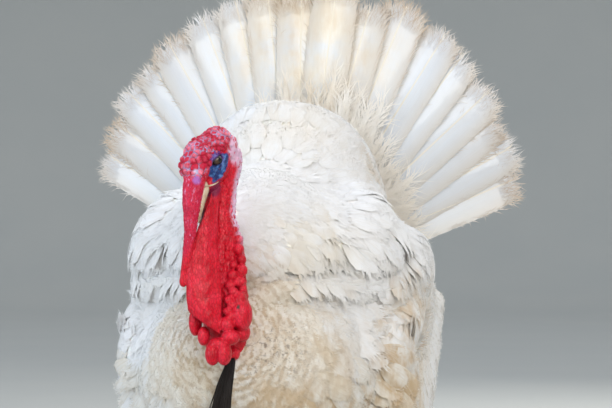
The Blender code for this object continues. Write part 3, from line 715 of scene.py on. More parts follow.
headForms = {
    "voxel": 0.00105,
    "balls": (  # centre and radii in the head's frame
        ((-0.006, 0, 0.002), (0.0395, 0.0235, 0.027)),
        ((0.006, -0.003, 0.02), (0.0255, 0.0215, 0.0175)),
        ((0.02, -0.003, 0.0175), (0.024, 0.021, 0.0185)),
        ((0.004, 0, -0.012), (0.03, 0.02, 0.019)),
        ((0.024, 0, -0.014), (0.019, 0.0145, 0.0125)),
        ((-0.024, 0, -0.01), (0.022, 0.021, 0.023)),
    ),
    "neckPath": (
        (-0.004, -0.205, 0.33), (-0.008, -0.258, 0.366), (-0.008, -0.272, 0.402),
        (-0.008, -0.275, 0.444), (-0.01, -0.272, 0.492), (-0.017, -0.267, 0.535),
        (-0.014, -0.262, 0.569), (-0.006, -0.261, 0.602), (-0.003, -0.264, 0.625),
    ),
    "neckRadii": (0.03, 0.03, 0.0285, 0.0265, 0.0245, 0.019, 0.0172, 0.0172, 0.0145),
    "bulbs": (  # the bulbs at the neck's foot: centre and radii
        ((0.0235, -0.303, 0.404), (0.0135, 0.017, 0.0215)),
        ((0.0205, -0.301, 0.421), (0.009, 0.013, 0.015)),
        ((-0.0125, -0.32, 0.353), (0.0098, 0.013, 0.0155)),
        ((0.0035, -0.321, 0.354), (0.01, 0.0135, 0.016)),
        ((-0.005, -0.318, 0.366), (0.013, 0.013, 0.009)),
        ((0.01, -0.313, 0.375), (0.0125, 0.014, 0.011)),
        ((0.006, -0.314, 0.392), (0.01, 0.012, 0.011)),
        ((-0.04, -0.304, 0.394), (0.0085, 0.014, 0.019)),
        ((-0.026, -0.314, 0.376), (0.008, 0.012, 0.013)),
        ((0.02, -0.292, 0.38), (0.0115, 0.015, 0.013)),
    ),
    "lumps": (  # wattle lumps between the beads and the bulbs: centre and size
        ((0.015, -0.29, 0.49), 0.0058), ((0.019, -0.289, 0.476), 0.0062), ((0.011, -0.3, 0.47), 0.005),
        ((0.02, -0.293, 0.462), 0.0066), ((0.01, -0.303, 0.456), 0.0056), ((0.018, -0.299, 0.448), 0.0064),
        ((0.007, -0.306, 0.443), 0.0054), ((0.021, -0.292, 0.438), 0.006), ((0.012, -0.306, 0.434), 0.0058),
        ((0.006, -0.309, 0.424), 0.0052), ((0.011, -0.31, 0.416), 0.0056), ((0.005, -0.312, 0.409), 0.005),
        ((0.01, -0.313, 0.402), 0.006), ((0.013, -0.282, 0.503), 0.0052), ((0.007, -0.28, 0.516), 0.0046),
    ),
    "throatPath": (
        (-0.016, -0.284, 0.574), (-0.021, -0.298, 0.54), (-0.023, -0.304, 0.5), (-0.024, -0.306, 0.46),
        (-0.022, -0.305, 0.425), (-0.02, -0.3, 0.4),
    ),
    "throatRadii": (0.008, 0.0105, 0.013, 0.015, 0.015, 0.008),
    "flapRight": (
        (-0.018, -0.3, 0.57), (-0.013, -0.301, 0.53), (-0.007, -0.305, 0.485), (-0.002, -0.311, 0.442),
        (-0.001, -0.316, 0.405), (-0.001, -0.318, 0.378),
    ),
    "flapLeft": (
        (-0.018, -0.301, 0.564), (-0.0235, -0.311, 0.543), (-0.033, -0.322, 0.516), (-0.0405, -0.328, 0.487),
        (-0.0445, -0.33, 0.457), (-0.046, -0.33, 0.43), (-0.044, -0.327, 0.408),
    ),
    "snoodPath": (
        (-0.027, -0.306, 0.602), (-0.034, -0.327, 0.583), (-0.0362, -0.336, 0.555),
        (-0.037, -0.3375, 0.535), (-0.0388, -0.3355, 0.512), (-0.0435, -0.332, 0.485),
        (-0.0477, -0.329, 0.462), (-0.0498, -0.3278, 0.45),
    ),
    "snoodRadii": (0.012, 0.0146, 0.0126, 0.01, 0.008, 0.0064, 0.0056, 0.0052),
    "snoodTip": ((-0.05, -0.3276, 0.4485), (0.0056, 0.005, 0.0078)),
}
eyeForm = {"centre": (0.0072, 0.0172, 0.0078), "radius": 0.008, "slit": (0.0102, 0.0044), "tilt": -19.0}


def neckMiddle(height):
    path = placed(headForms["neckPath"])
    return np.stack([np.interp(height, path[:, 2], path[:, k]) for k in (0, 1)] + [height], -1)


def fromNeckAxis(q):
    # the way across to each place from the neck's middle line at its own height
    path = np.array(headForms["neckPath"])
    return q[:, :2] - np.stack([np.interp(q[:, 2], path[:, 2], path[:, k]) for k in (0, 1)], -1)


def neckBeads():
    # chains of beads down the neck's side and rear, growing from 1.8 mm to about 5 mm towards the foot
    forms = []
    path = np.array(headForms["neckPath"])
    for chain in range(22):
        angle = math.radians(-92 + 292 * (chain + rng.uniform(-0.2, 0.2)) / 21)
        height = 0.585 - 0.012 * rng.uniform()
        while height > 0.392:
            down = (0.585 - height) / 0.19
            size = (0.0018 + 0.0031 * down ** 1.3) * rng.uniform(0.75, 1.25)
            middle = neckMiddle(np.array(height))
            radius = np.interp(height, path[:, 2], headForms["neckRadii"])
            turn = angle + rng.normal(0, 0.05) + 0.1 * math.sin(height * 60 + chain)
            out = np.array([math.cos(turn), math.sin(turn), 0])
            radii = (size * 1.05, size * rng.uniform(0.85, 1.15), size * rng.uniform(0.9, 1.6))
            forms.append(ball(middle + out * (radius + size * 0.05), radii, turnAbout("z", turn), 12, 8))
            height -= radii[2] * 1.55
    for centre, size in headForms["lumps"]:
        radii = size * rng.uniform(1.0, 1.4, 3)
        place = placed(centre) + np.array([0, 0.0012, 0])
        forms.append(ball(place, radii, turnAbout("x", rng.uniform(-0.6, 0.6)), 16, 10))
    return forms


def dewlapForm():
    # a flap's point = right edge(v) + (left edge(v) - right edge(v)) u, swelling forwards by sin(pi u), plus
    # fine upright folds that fade downwards; both faces, closed round the rim
    rows, columns = 130, 48
    v = np.linspace(0, 1, rows)
    u = np.linspace(0, 1, columns)[None]
    right, left = (curveThrough(headForms[k], rows)[:, None] for k in ("flapRight", "flapLeft"))
    v = v[:, None]
    ahead = np.array([0.1, -0.99, 0.0])
    fine = 0.0006 * np.sin(60 * u + 2.0 * np.sin(7 * v + 3 * u) + 4 * v) * (1 - smoothstep(0.35, 0.75, v))
    fine = fine + 0.0005 * np.sin(75 * v + 3.0 * np.sin(9 * u) + 5 * np.sin(4 * v))
    broad = 0.0011 * np.sin(15 * u + 3 * v) * (1 - 0.7 * v) + 0.0008 * np.sin(14 * v + 5 * u)
    swell = 0.0075 * np.sin(np.pi * np.clip(u * 0.86 + 0.1, 0, 1)) + fine + broad
    middle = right + (left - right) * u[..., None] + ahead * swell[..., None] + shift
    wall = 0.0024 * np.sqrt(np.clip(1 - (2 * u - 1) ** 6, 0, 1)) * np.clip(8 * (1 - v), 0.05, 1) ** 0.5
    front, rear = middle + ahead * wall[..., None], middle - ahead * wall[..., None]
    n = rows * columns
    faces = gridFaces(rows, columns)
    ring = np.concatenate([
        np.arange(columns), np.arange(1, rows) * columns + columns - 1,
        (rows - 1) * columns + np.arange(columns - 2, -1, -1), np.arange(rows - 2, 0, -1) * columns,
    ])
    nextRing = np.roll(ring, -1)
    rim = np.stack([nextRing, ring, ring + n, nextRing + n], -1)
    points = np.concatenate([front.reshape(-1, 3), rear.reshape(-1, 3)])
    return points, np.concatenate([faces, faces[:, ::-1] + n, rim]), []


def headZones(world):
    # shares of 0 to 1 on the bare skin; h is the head's own frame in millimetres, q the place before the shift
    h = toHead(world) * 1000
    q = world - shift
    x, y, z = h[:, 0], np.abs(h[:, 1]), h[:, 2]
    edge = 8.5 + 0.16 * x + 0.004 * x * np.abs(x) * (x < 0)
    onHead = smoothstep(62, 50, x) * smoothstep(-46, -38, z)
    drop = z + 0.36 * np.clip(x - 60, 0, None)
    snood = smoothstep(44, 52, x) * smoothstep(-4, 2, drop) * smoothstep(0.43, 0.44, q[:, 2])
    crown = smoothstep(edge - 1.5, edge + 2.0, z) * onHead * (1 - snood)
    blue = smoothstep(1.15, 0.75, np.sqrt(((x - 13.5) / 24.5) ** 2 + ((z + 2.5) / 14.0) ** 2))
    blue = blue * smoothstep(9, 13, y) * (1 - crown) * (1 - snood) * onHead
    away = fromNeckAxis(q)
    rear = away @ np.array([0.8, 0.6]) / np.maximum(norms(away), 1e-6)
    nape = smoothstep(0.25, 0.75, rear) * smoothstep(0.475, 0.53, q[:, 2]) * (1 - crown) * (1 - snood)
    nape = np.maximum(nape, smoothstep(-6, -14, x) * smoothstep(4, -4, z) * onHead * (1 - crown) * 0.9)
    # painted shade: a dark spot at the mouth's corner, below the beak's base
    gape = smoothstep(1.1, 0.6, np.sqrt(((x - 34) / 15) ** 2 + ((z + 20) / 10) ** 2)) * onHead
    # painted shadow: a dark patch in the hollow beside the snood
    snoodHollowShadow = norms((q - np.array([-0.029, -0.312, 0.533])) / np.array([0.005, 0.02, 0.017]))
    snoodHollowShadow = smoothstep(1.15, 0.6, snoodHollowShadow) * (1 - snood)
    eye = norms(np.stack([x - 8.0, z - 7.0], -1))
    return {
        "crown": crown, "blue": blue, "nape": nape * (1 - blue), "snood": snood, "gape": gape, "snoodHollowShadow": snoodHollowShadow,
        "lids": smoothstep(13, 8, eye) * smoothstep(9, 13, y) * onHead,
        "spot": smoothstep(5.5, 2.0, norms(h - np.array([39.5, 12.0, 26.0]))),
        "purple": smoothstep(7.5, 3.5, norms(h - np.array([50.0, 17.0, 22.5]))),
    }


headRelief = {
    "crownGap": 0.0054, "frontGap": 0.0084, "crownHeight": 0.0034, "frontHeight": 0.0046, "napeGap": 0.0062,
    "napeHeight": 0.0022, "snoodGap": 0.0042, "snoodHeight": 0.0011, "faces": 128000,
}


def cobbleBorders(points, seeds):
    # for each point: its nearest seed, and how far it stands from the border with the next seed's cell
    nearest = np.empty(len(points), int)
    border = np.empty(len(points))
    for start in range(0, len(points), 6000):
        part = points[start:start + 6000]
        square = ((part ** 2).sum(1)[:, None] + (seeds ** 2).sum(1)[None] - 2 * part @ seeds.T)
        two = np.argpartition(square, 1, axis=1)[:, :2]
        near = np.take_along_axis(square, two, 1)
        first = np.where(near[:, 0] <= near[:, 1], 0, 1)
        a = np.take_along_axis(two, first[:, None], 1)[:, 0]
        b = np.take_along_axis(two, 1 - first[:, None], 1)[:, 0]
        gap = np.abs(near[:, 1] - near[:, 0]) / (2 * norms(seeds[a] - seeds[b]))
        nearest[start:start + 6000] = a
        border[start:start + 6000] = gap
    return nearest, border


def headCobbles(thing):
    # seeds of the cobbles on crown, nape and low snood, spaced by zone, each with its own size of 0.7 to 1.25
    points, _ = surfacePlaces(thing, 26000)
    zone = headZones(points)
    low = zone["snood"] * (points[:, 2] < 0.575)
    bumpy = np.maximum(np.maximum(zone["crown"], zone["nape"]), low) > 0.2
    points = points[bumpy]
    zone = someOf(zone, bumpy)
    front = smoothstep(0.004, 0.022, toHead(points)[:, 0])
    gap = headRelief["crownGap"] + (headRelief["frontGap"] - headRelief["crownGap"]) * front
    gap = np.where(zone["crown"] > 0.5, gap, headRelief["napeGap"])
    gap = np.where(zone["snood"] > 0.5, headRelief["snoodGap"], gap)
    uneven = 0.24 + 0.22 * (zone["nape"] > zone["crown"])
    gap = gap * (0.96 + rng.uniform(-1, 1, len(gap)) * uneven)
    seeds = points[spreadOut(points, gap)]
    return seeds, rng.uniform(0.7, 1.25, len(seeds))


def makeHeadSkin():
    forms = [
        ball(fromHead(centre), radii, headBasis, 40, 24) for centre, radii in headForms["balls"]
    ]
    forms.append(tube(placed(headForms["neckPath"]), headForms["neckRadii"], 60, 40))
    forms.append(tube(placed(headForms["throatPath"]), headForms["throatRadii"], 40, 28))
    forms += [ball(placed(c), r, None, 24, 16) for c, r in headForms["bulbs"]]
    forms += neckBeads()
    forms.append(tube(placed(headForms["snoodPath"]), headForms["snoodRadii"], 70, 28, 0.78))
    forms.append(ball(placed(headForms["snoodTip"][0]), headForms["snoodTip"][1]))
    forms.append(dewlapForm())
    made = fuse(joinForms("headSkin", forms), headForms["voxel"], 3)
    seeds, sizes = headCobbles(made)
    points, normals = corners(made), normalsOf(made)
    zone = headZones(points)
    nearest, border = cobbleBorders(points, seeds)
    size = sizes[nearest]
    h = toHead(points)
    front = smoothstep(0.004, 0.022, h[:, 0])
    wide = 0.0022 + 0.0014 * front
    dome = domed(border, wide)
    height = headRelief["crownHeight"] + (headRelief["frontHeight"] - headRelief["crownHeight"]) * front
    rise = zone["crown"] * height + zone["nape"] * headRelief["napeHeight"] * (size > 0.95)
    rise = rise + zone["snood"] * headRelief["snoodHeight"] * smoothstep(0.575, 0.535, points[:, 2])
    ear = norms(np.stack([h[:, 0] + 0.02, h[:, 2] + 0.006], -1))
    pit = smoothstep(0.0042, 0.0014, ear) * (np.abs(h[:, 1]) > 0.012)
    socket = norms(
        np.stack([(h[:, 0] - eyeForm["centre"][0] - 0.001) / 1.3, h[:, 2] - eyeForm["centre"][2]], -1))
    dip = smoothstep(0.0098, 0.0064, socket) * (np.abs(h[:, 1]) > 0.01)
    streak = np.sin(h[:, 1] * 2300 + 3.0 * np.sin(h[:, 0] * 300)) * 0.00035
    move = rise * (dome * size - 0.45) - 0.0038 * pit - 0.0054 * dip + zone["snood"] * streak
    points = points + normals * move[:, None]
    setCorners(made, points)
    return thinTo(made, headRelief["faces"]), seeds, sizes


bodyMesh = makeBodySkin()
print("body skin", len(bodyMesh.data.polygons))
headMesh, cobbleSeeds, cobbleSizes = makeHeadSkin()
print("head skin", len(headMesh.data.polygons))


# bare skin: crimson with bluish furrows, cobalt round the eye, pale nape; painted highlights on the crown's
# cobbles, painted shade in its furrows, at the mouth's corner and beside the snood
bareSkin = {
    "red": (0.57, 0.003, 0.017), "deep": (0.25, 0.002, 0.01), "bright": (0.68, 0.018, 0.045),
    "rose": (0.42, 0.01, 0.075), "dark": (0.06, 0.003, 0.012), "rim": (0.012, 0.01, 0.04),
    "highlightPink": (0.8, 0.26, 0.36), "furrow": (0.42, 0.36, 0.58), "blue": (0.013, 0.046, 0.2),
    "navy": (0.012, 0.012, 0.07), "paleBlue": (0.095, 0.23, 0.5), "violet": (0.19, 0.04, 0.23),
    "nape": (0.64, 0.43, 0.57), "lilac": (0.62, 0.33, 0.56), "gape": (0.16, 0.008, 0.045),
    "spot": (0.56, 0.58, 0.78), "purple": (0.33, 0.13, 0.44),
    "plucked": (0.88, 0.875, 0.87), "crumb": (0.03, 0.04, 0.03),
    "crumbs": (((-0.025, -0.312, 0.465), 0.003), ((0.0215, -0.318, 0.415), 0.003)),
}


def makeSkinGrain():
    # live skin at three scales: fine streaks along the flesh, pebbles, and cloudy blood colour
    group, given, out = newGroup(
        "skinGrain",
        [("Place", "Vector", None), ("Streak Scale", "Float", 420.0),
         ("Pebble Scale", "Float", 480.0), ("Stretch", "Float", 0.2)],
        [("Streaks", "Float"), ("Pebbles", "Float"), ("Mottle", "Float")],
    )
    place = given.outputs["Place"]
    tall = taller(group, place, given.outputs["Stretch"])
    streaks = noise(group, tall, given.outputs["Streak Scale"], 2.0, 0.6)
    pebbles = cells(group, place, given.outputs["Pebble Scale"], 0.9)
    mottle = noise(group, place, 55.0, 4.0, 0.6)
    return closeGroup(group, out, Streaks=streaks, Pebbles=pebbles, Mottle=mottle)


skinGrain = makeSkinGrain()


def makeBareSkinMaterial():
    made, tree, shader = newMaterial(
        "bareSkin", Roughness=0.4, Specular_IOR_Level=0.22, Subsurface_Weight=0.14, Subsurface_Scale=1.0,
        Subsurface_Radius=(0.006, 0.0016, 0.0012), Coat_Weight=0.08, Coat_Roughness=0.2,
    )
    place = addNode(tree, "TexCoord").outputs["Object"]
    grain = addNode(tree, "Group", {"Place": place}, node_tree=skinGrain)
    streaks, pebbles, mottle = (grain.outputs[k] for k in ("Streaks", "Pebbles", "Mottle"))

    def over(colour, share, name):
        return blendColours(tree, share, colour, bareSkin[name])

    def part(name, share=1.0):
        return times(tree, attributeOf(tree, name), share)

    colour = blendColours(tree, ramp(tree, mottle, 0.42, 0.68), bareSkin["red"], bareSkin["bright"])
    colour = over(colour, times(tree, ramp(tree, mottle, 0.5, 0.28), 0.45), "deep")
    colour = over(colour, times(tree, ramp(tree, streaks, 0.5, 0.36), 0.3), "deep")
    # a net of fine creases, upright cells stretched along the flesh
    tall = taller(tree, place, 0.45)
    crease = ramp(tree, cells(tree, tall, 330.0, 1.0, "DISTANCE_TO_EDGE"), 0.16, 0.02)
    colour = over(colour, times(tree, crease, 0.5), "deep")
    colour = over(colour, maths(tree, "MAXIMUM", part("snood", 0.36), part("crown", 0.35)), "rose")
    flecks = times(tree, ramp(tree, streaks, 0.58, 0.7), part("snood", 0.6))
    flecks = maths(tree, "MAXIMUM", flecks, times(tree, ramp(tree, pebbles, 0.2, 0.08), part("snood", 0.35)))
    colour = over(colour, flecks, "lilac")
    # red beads on the pale nape, elongated down the neck
    beads = cells(tree, tall, 200.0, 0.85)
    between = ramp(tree, maths(tree, "ADD", beads, times(tree, mottle, 0.35)), 0.42, 0.62)
    colour = over(colour, times(tree, part("nape", 0.45), ramp(tree, mottle, 0.4, 0.6)), "lilac")
    colour = over(colour, times(tree, part("nape"), between), "nape")
    # painted highlight: pink on the tops of the crown's larger cobbles, standing in for their shine
    crownHighlight = times(tree, times(tree, part("dome"), part("crown")), ramp(tree, mottle, 0.38, 0.62))
    colour = over(colour, times(tree, crownHighlight, 0.6), "highlightPink")
    # the crown's furrows: darkened with deep red as painted shade, and in patches given their own pale bluish
    # colour
    furrowShadeAndTint = times(tree, part("furrow"), part("crown"))
    colour = over(colour, times(tree, furrowShadeAndTint, 0.6), "deep")
    colour = over(colour, times(tree, furrowShadeAndTint, ramp(tree, mottle, 0.44, 0.56)), "furrow")
    patches = noise(tree, place, 130.0, 3.0, 0.6)
    blue = blendColours(tree, ramp(tree, patches, 0.5, 0.66), bareSkin["blue"], bareSkin["paleBlue"])
    blue = over(blue, times(tree, ramp(tree, pebbles, 0.3, 0.1), 0.45), "paleBlue")
    blue = over(blue, times(tree, ramp(tree, patches, 0.5, 0.38), 0.8), "navy")
    blue = over(blue, times(tree, ramp(tree, part("blue"), 0.85, 0.35), 0.8), "violet")
    broken = maths(tree, "MULTIPLY_ADD", maths(tree, "SUBTRACT", patches, 0.5), 2.4, part("blue"))
    share = times(tree, ramp(tree, broken, 0.3, 0.75), ramp(tree, part("blue"), 0.0, 0.2))
    colour = blendColours(tree, share, colour, blue)
    colour = over(colour, times(tree, part("lids", 0.9), ramp(tree, mottle, 0.8, 0.4)), "violet")
    colour = over(colour, times(tree, part("lids", 0.75), ramp(tree, pebbles, 0.2, 0.08)), "spot")
    colour = over(colour, part("rim", 0.95), "rim")
    # painted shade at the mouth's corner
    colour = over(colour, part("gape", 0.9), "gape")
    # painted shadow in the hollow beside the snood
    colour = over(colour, part("snoodHollowShadow", 0.92), "dark")
    colour = over(colour, part("spot", 0.9), "spot")
    colour = over(colour, part("purple", 0.8), "purple")
    colour = over(colour, part("crumb"), "crumb")
    marks = addNode(tree, "Group", {
        "Place": place, "Wash": 0.3, "White": (*bareSkin["plucked"], 1),
    }, node_tree=plumageMarks)
    colour = blendColours(tree, attributeOf(tree, "bare"), marks.outputs["Color"], colour)
    tree.links.new(colour, shader.inputs["Base Color"])
    height = maths(tree, "ADD", times(tree, streaks, 0.8), times(tree, pebbles, -0.5))
    height = maths(tree, "ADD", height, times(tree, crease, -0.9))
    bumpInto(tree, shader, height, 0.6, 0.0008)
    tree.links.new(fromTo(tree, mottle, 0.26, 0.46), shader.inputs["Roughness"])
    return made


def paintSkin(thing, bare=None, own=()):
    # the zones and furrows of every vertex, for the skin's material
    points = corners(thing)
    zone = headZones(points)
    nearest, border = cobbleBorders(points, cobbleSeeds)
    # the cobbles' borders, which the material darkens on the crown as painted shade
    zone["furrow"] = smoothstep(0.0012, 0.0002, border)
    # the larger cobbles' tops, which the material lights with a painted highlight
    zone["dome"] = smoothstep(0.0003, 0.0014, border) * (cobbleSizes[nearest] > 0.95)
    crumb = np.zeros(len(points))
    for centre, size in bareSkin["crumbs"]:
        away = norms((points - np.array(centre) - shift) * np.array([1, 0.4, 0.8]))
        crumb = np.maximum(crumb, smoothstep(size, size * 0.5, away))
    zone["crumb"] = crumb
    if bare is not None:
        zone["bare"] = bare
    zone.update(own)
    for name, value in zone.items():
        putValue(thing, name, value)


def makeSkin():
    # head and body skins united into one closed surface
    putValue(headMesh, "bare", np.ones(len(headMesh.data.vertices)))
    putValue(bodyMesh, "bare", np.zeros(len(bodyMesh.data.vertices)))
    under = addObject("under", bodyMesh.data.copy())
    setCorners(under, corners(under) - normalsOf(under) * bodySkin["rootDepth"])
    made = addObject("skin", headMesh.data.copy())
    union = made.modifiers.new("body", "BOOLEAN")
    union.operation = "UNION"
    union.solver = "MANIFOLD"
    union.object = under
    applyModifiers(made)
    remove(under)
    print("skin", len(made.data.vertices), "corners", [a.name for a in made.data.attributes])
    bare = np.empty(len(made.data.vertices), dtype=np.float32)
    made.data.attributes["bare"].data.foreach_get("value", bare)
    made.data.attributes.remove(made.data.attributes["bare"])
    paintSkin(made, bare)
    made.data.polygons.foreach_set("use_smooth", np.ones(len(made.data.polygons), dtype=bool))
    return finishPiece(
        made, bareMaterial, "red_skin", "head", "neck", "snood", "dewlap", "torso", "thigh_left", "thigh_right",
    )


bareMaterial = makeBareSkinMaterial()
makeSkin()
remove(headMesh)


# eyes and lids
def ringFaces(rows, columns):
    # quads of a grid that closes on itself both ways
    i, j = np.meshgrid(np.arange(rows), np.arange(columns), indexing="ij")
    a, b = i * columns + j, i * columns + (j + 1) % columns
    c, d = (i + 1) % rows * columns + (j + 1) % columns, (i + 1) % rows * columns + j
    return np.stack([a, b, c, d], -1).reshape(-1, 4)


def makeEyeMaterial():
    made, tree, shader = newMaterial(
        "eye", Roughness=0.1, Specular_IOR_Level=0.35, Coat_Weight=0.25, Coat_Roughness=0.02,
    )
    place = addNode(tree, "TexCoord").outputs["Object"]
    away = attributeOf(tree, "fromPupil")
    iris = blendColours(tree, noise(tree, place, 1400.0, 2.0), (0.026, 0.011, 0.006), (0.08, 0.034, 0.014))
    colour = blendColours(tree, ramp(tree, away, 0.36, 0.42), (0.003, 0.003, 0.004), iris)
    colour = blendColours(tree, ramp(tree, away, 0.84, 0.96), colour, (0.03, 0.014, 0.01))
    tree.links.new(colour, shader.inputs["Base Color"])
    return made


def makeEye(side, sign, material):
    # a ball's point, its pole outwards, with the cornea swelling by 0.6 mm round the pole
    centre = np.array(eyeForm["centre"]) * (1, sign, 1)
    rows, columns = 36, 40
    u = np.linspace(0, 2 * np.pi, columns, endpoint=False)
    v = np.linspace(0.01, np.pi - 0.01, rows)[:, None]
    reach = eyeForm["radius"] + 0.0006 * smoothstep(0.75, 0.2, v)
    local = np.stack([np.cos(u) * np.sin(v), sign * (np.cos(v) + 0 * u), np.sin(u) * np.sin(v)], -1)
    local = local * reach[..., None]
    faces = gridFaces(rows, columns, True)
    caps = [np.arange(columns)[::-1][None], np.arange((rows - 1) * columns, rows * columns)[None]]
    if sign > 0:
        faces, caps = faces[:, ::-1], [cap[:, ::-1] for cap in caps]
    made = newObject("eyeball_" + side, fromHead(local.reshape(-1, 3) + centre), [faces] + caps)
    putValue(made, "fromPupil", np.repeat(v[:, 0], columns))
    finishPiece(made, material, "eye", "eye_" + side)


def makeLids(side, sign):
    # a closed profile carried round the slit: out from the rim over two folds to the cheek, and back beneath
    count, rows = 72, 30
    u = np.linspace(0, 2 * np.pi, count, endpoint=False)[None]
    s = np.linspace(0, 2, rows, endpoint=False)[:, None]
    w = np.where(s <= 1, s, 2 - s)
    under = (s > 1) * 1.0
    long, high = eyeForm["slit"]
    tilt = math.radians(eyeForm["tilt"])
    edgeX, edgeZ = long * np.cos(u), high * np.sin(u) * (1 - 0.35 * np.cos(u) ** 2)
    farX, farZ = 0.0142 * np.cos(u), 0.0122 * np.sin(u)
    x, z = edgeX + (farX - edgeX) * w, edgeZ + (farZ - edgeZ) * w
    x, z = x * math.cos(tilt) + z * math.sin(tilt), z * math.cos(tilt) - x * math.sin(tilt)
    x, z = x + 0.0008, z + 0.0004
    ballY = np.sqrt(np.clip((eyeForm["radius"] + 0.0007) ** 2 - x ** 2 - z ** 2, 0.000007, None))
    ballY = ballY + eyeForm["centre"][1]
    placeX, placeZ = x + eyeForm["centre"][0], z + eyeForm["centre"][2]
    oval = 1 - ((placeX + 0.005) / 0.042) ** 2 - ((placeZ - 0.003) / 0.0275) ** 2
    cheek = 0.0235 * np.sqrt(np.clip(oval, 0.2, 1))
    share = smoothstep(0.1, 0.85, w)
    folds = 0.0007 * np.exp(-((w - 0.1) / 0.07) ** 2) - 0.0007 * np.exp(-((w - 0.34) / 0.06) ** 2)
    folds = folds + 0.0006 * np.exp(-((w - 0.48) / 0.08) ** 2) - 0.0005 * np.exp(-((w - 0.64) / 0.05) ** 2)
    folds = folds + 0.00016 * np.sin(26 * u + 2 * np.sin(3 * u)) * smoothstep(0.1, 0.4, w)
    y = ballY * (1 - share) + (cheek - 0.0008 * smoothstep(0.8, 1.0, w)) * share + folds * (1 - under)
    y = y - under * 0.0011 * np.sin(np.pi * w) ** 0.5
    local = np.stack([placeX, sign * y, placeZ], -1)
    faces = ringFaces(rows, count)
    if sign < 0:
        faces = faces[:, ::-1]
    made = newObject("lids_" + side, fromHead(local.reshape(-1, 3)), faces)
    paintSkin(made, np.ones(rows * count), {
        "rim": smoothstep(0.26, 0.1, w) * np.ones_like(u), "blue": np.ones((rows, count)),
        "lids": smoothstep(-0.35, 0.45, np.sin(u)) * smoothstep(1.0, 0.75, w), "crown": np.zeros((rows, count)),
    })
    finishPiece(made, bareMaterial, "red_skin")


eyeMaterial = makeEyeMaterial()
for headSide, headSign in (("left", 1), ("right", -1)):
    makeEye(headSide, headSign, eyeMaterial)
    makeLids(headSide, headSign)
print("eyes and lids")


# horn: beak, claws and spurs
hornLook = {"pale": (0.6, 0.49, 0.35), "brown": (0.3, 0.19, 0.11), "rough": 0.38}
beakForm = {
    "upper": (
        (0.02, 0, -0.009), (0.035, 0, -0.0095), (0.05, 0, -0.011), (0.063, 0, -0.0145), (0.075, 0, -0.02),
        (0.0835, 0, -0.0285),
    ),
    "upperRadii": (0.007, 0.0078, 0.0084, 0.0074, 0.0052, 0.0012),
    "lower": (
        (0.028, 0, -0.0258), (0.038, 0, -0.0266), (0.048, 0, -0.0282), (0.06, 0, -0.0312), (0.0705, 0, -0.034),
    ),
    "lowerRadii": (0.007, 0.0076, 0.0066, 0.0046, 0.0014),
    "mouthEdge": ((0.026, 0.014, -0.016), (0.033, 0.013, -0.012), (0.04, 0.012, -0.007), (0.046, 0.01, -0.003)),
}


def makeHornMaterial():
    made, tree, shader = newMaterial(
        "horn", Specular_IOR_Level=0.5, Subsurface_Weight=0.12, Subsurface_Radius=(0.003, 0.002, 0.001),
        Coat_Weight=0.15,
    )
    place = addNode(tree, "TexCoord").outputs["Object"]
    grain = addNode(tree, "Group", {"Place": place, "Streak Scale": 300.0, "Stretch": 0.35}, node_tree=skinGrain)
    streaks, mottle = grain.outputs["Streaks"], grain.outputs["Mottle"]
    colour = blendColours(tree, ramp(tree, streaks, 0.62, 0.34), hornLook["pale"], hornLook["brown"])
    colour = blendColours(tree, 0.55, colour, hornLook["pale"])
    colour = blendColours(tree, times(tree, attributeOf(tree, "base"), 0.6), colour, hornLook["brown"])
    tree.links.new(colour, shader.inputs["Base Color"])
    tree.links.new(fromTo(tree, mottle, 0.28, 0.5), shader.inputs["Roughness"])
    bumpInto(tree, shader, streaks, 0.35, 0.0004)
    return made


def hornPiece(name, form, sides, material, *nodes):
    made = joinForms(name, [form])
    v = np.repeat(np.linspace(0, 1, len(form[0]) // sides), sides)
    putValue(made, "base", smoothstep(0.35, 0.0, v))
    return finishPiece(made, material, "horn", *nodes)


def makeBeak(material):
    # a tube's point = line + radius + 1.2 mm sin(u)^6 (1 - v) along the top, with growth lines and nostril dents
    left = tuple(headBasis[:, 1])
    growth = lambda u, v: 0.00018 * np.sin(v * 60 + 2 * np.cos(u))
    ridge = lambda u, v: 0.0012 * np.clip(np.sin(u), 0, 1) ** 6 * (1 - v) + growth(u, v)
    points, quads, caps = tube(fromHead(beakForm["upper"]), beakForm["upperRadii"], 60, 36, 0.86, left, ridge)
    h = toHead(points)
    for sign in (1, -1):
        away = (h - np.array([0.05, 0.0094 * sign, -0.0035])) / np.array([0.0052, 0.004, 0.0021])
        h[:, 1] -= sign * 0.0026 * smoothstep(1.1, 0.45, norms(away))
    hornPiece("beakUpper", (fromHead(h), quads, caps), 36, material, "beak_upper")
    groove = lambda u, v: 0.00015 * np.sin(v * 50 + 3 * np.cos(u))
    form = tube(fromHead(beakForm["lower"]), beakForm["lowerRadii"], 50, 32, 0.55, left, groove)
    hornPiece("beakLower", form, 32, material, "beak_lower")
    tree = BVHTree.FromObject(bpy.data.objects["skin"], bpy.context.evaluated_depsgraph_get())
    for side, sign in (("left", 1), ("right", -1)):  # the mouth's pale edge, laid on the skin
        edge = fromHead(np.array(beakForm["mouthEdge"]) * (1, sign, 1))
        edge = np.array([tree.find_nearest(place)[0] for place in curveThrough(edge, 14)])
        form = tube(edge, (0.0005, 0.001, 0.0011, 0.0006), 30, 12, 1.0, left)
        hornPiece("mouthEdge_" + side, form, 12, material)


hornMaterial = makeHornMaterial()
makeBeak(hornMaterial)
print("beak")


# the beard: coarse black bristles hung from one root
beardForm = {"root": (0.007, -0.272, 0.35), "length": 0.172, "bristles": 430, "thick": 0.00046, "parts": 12}


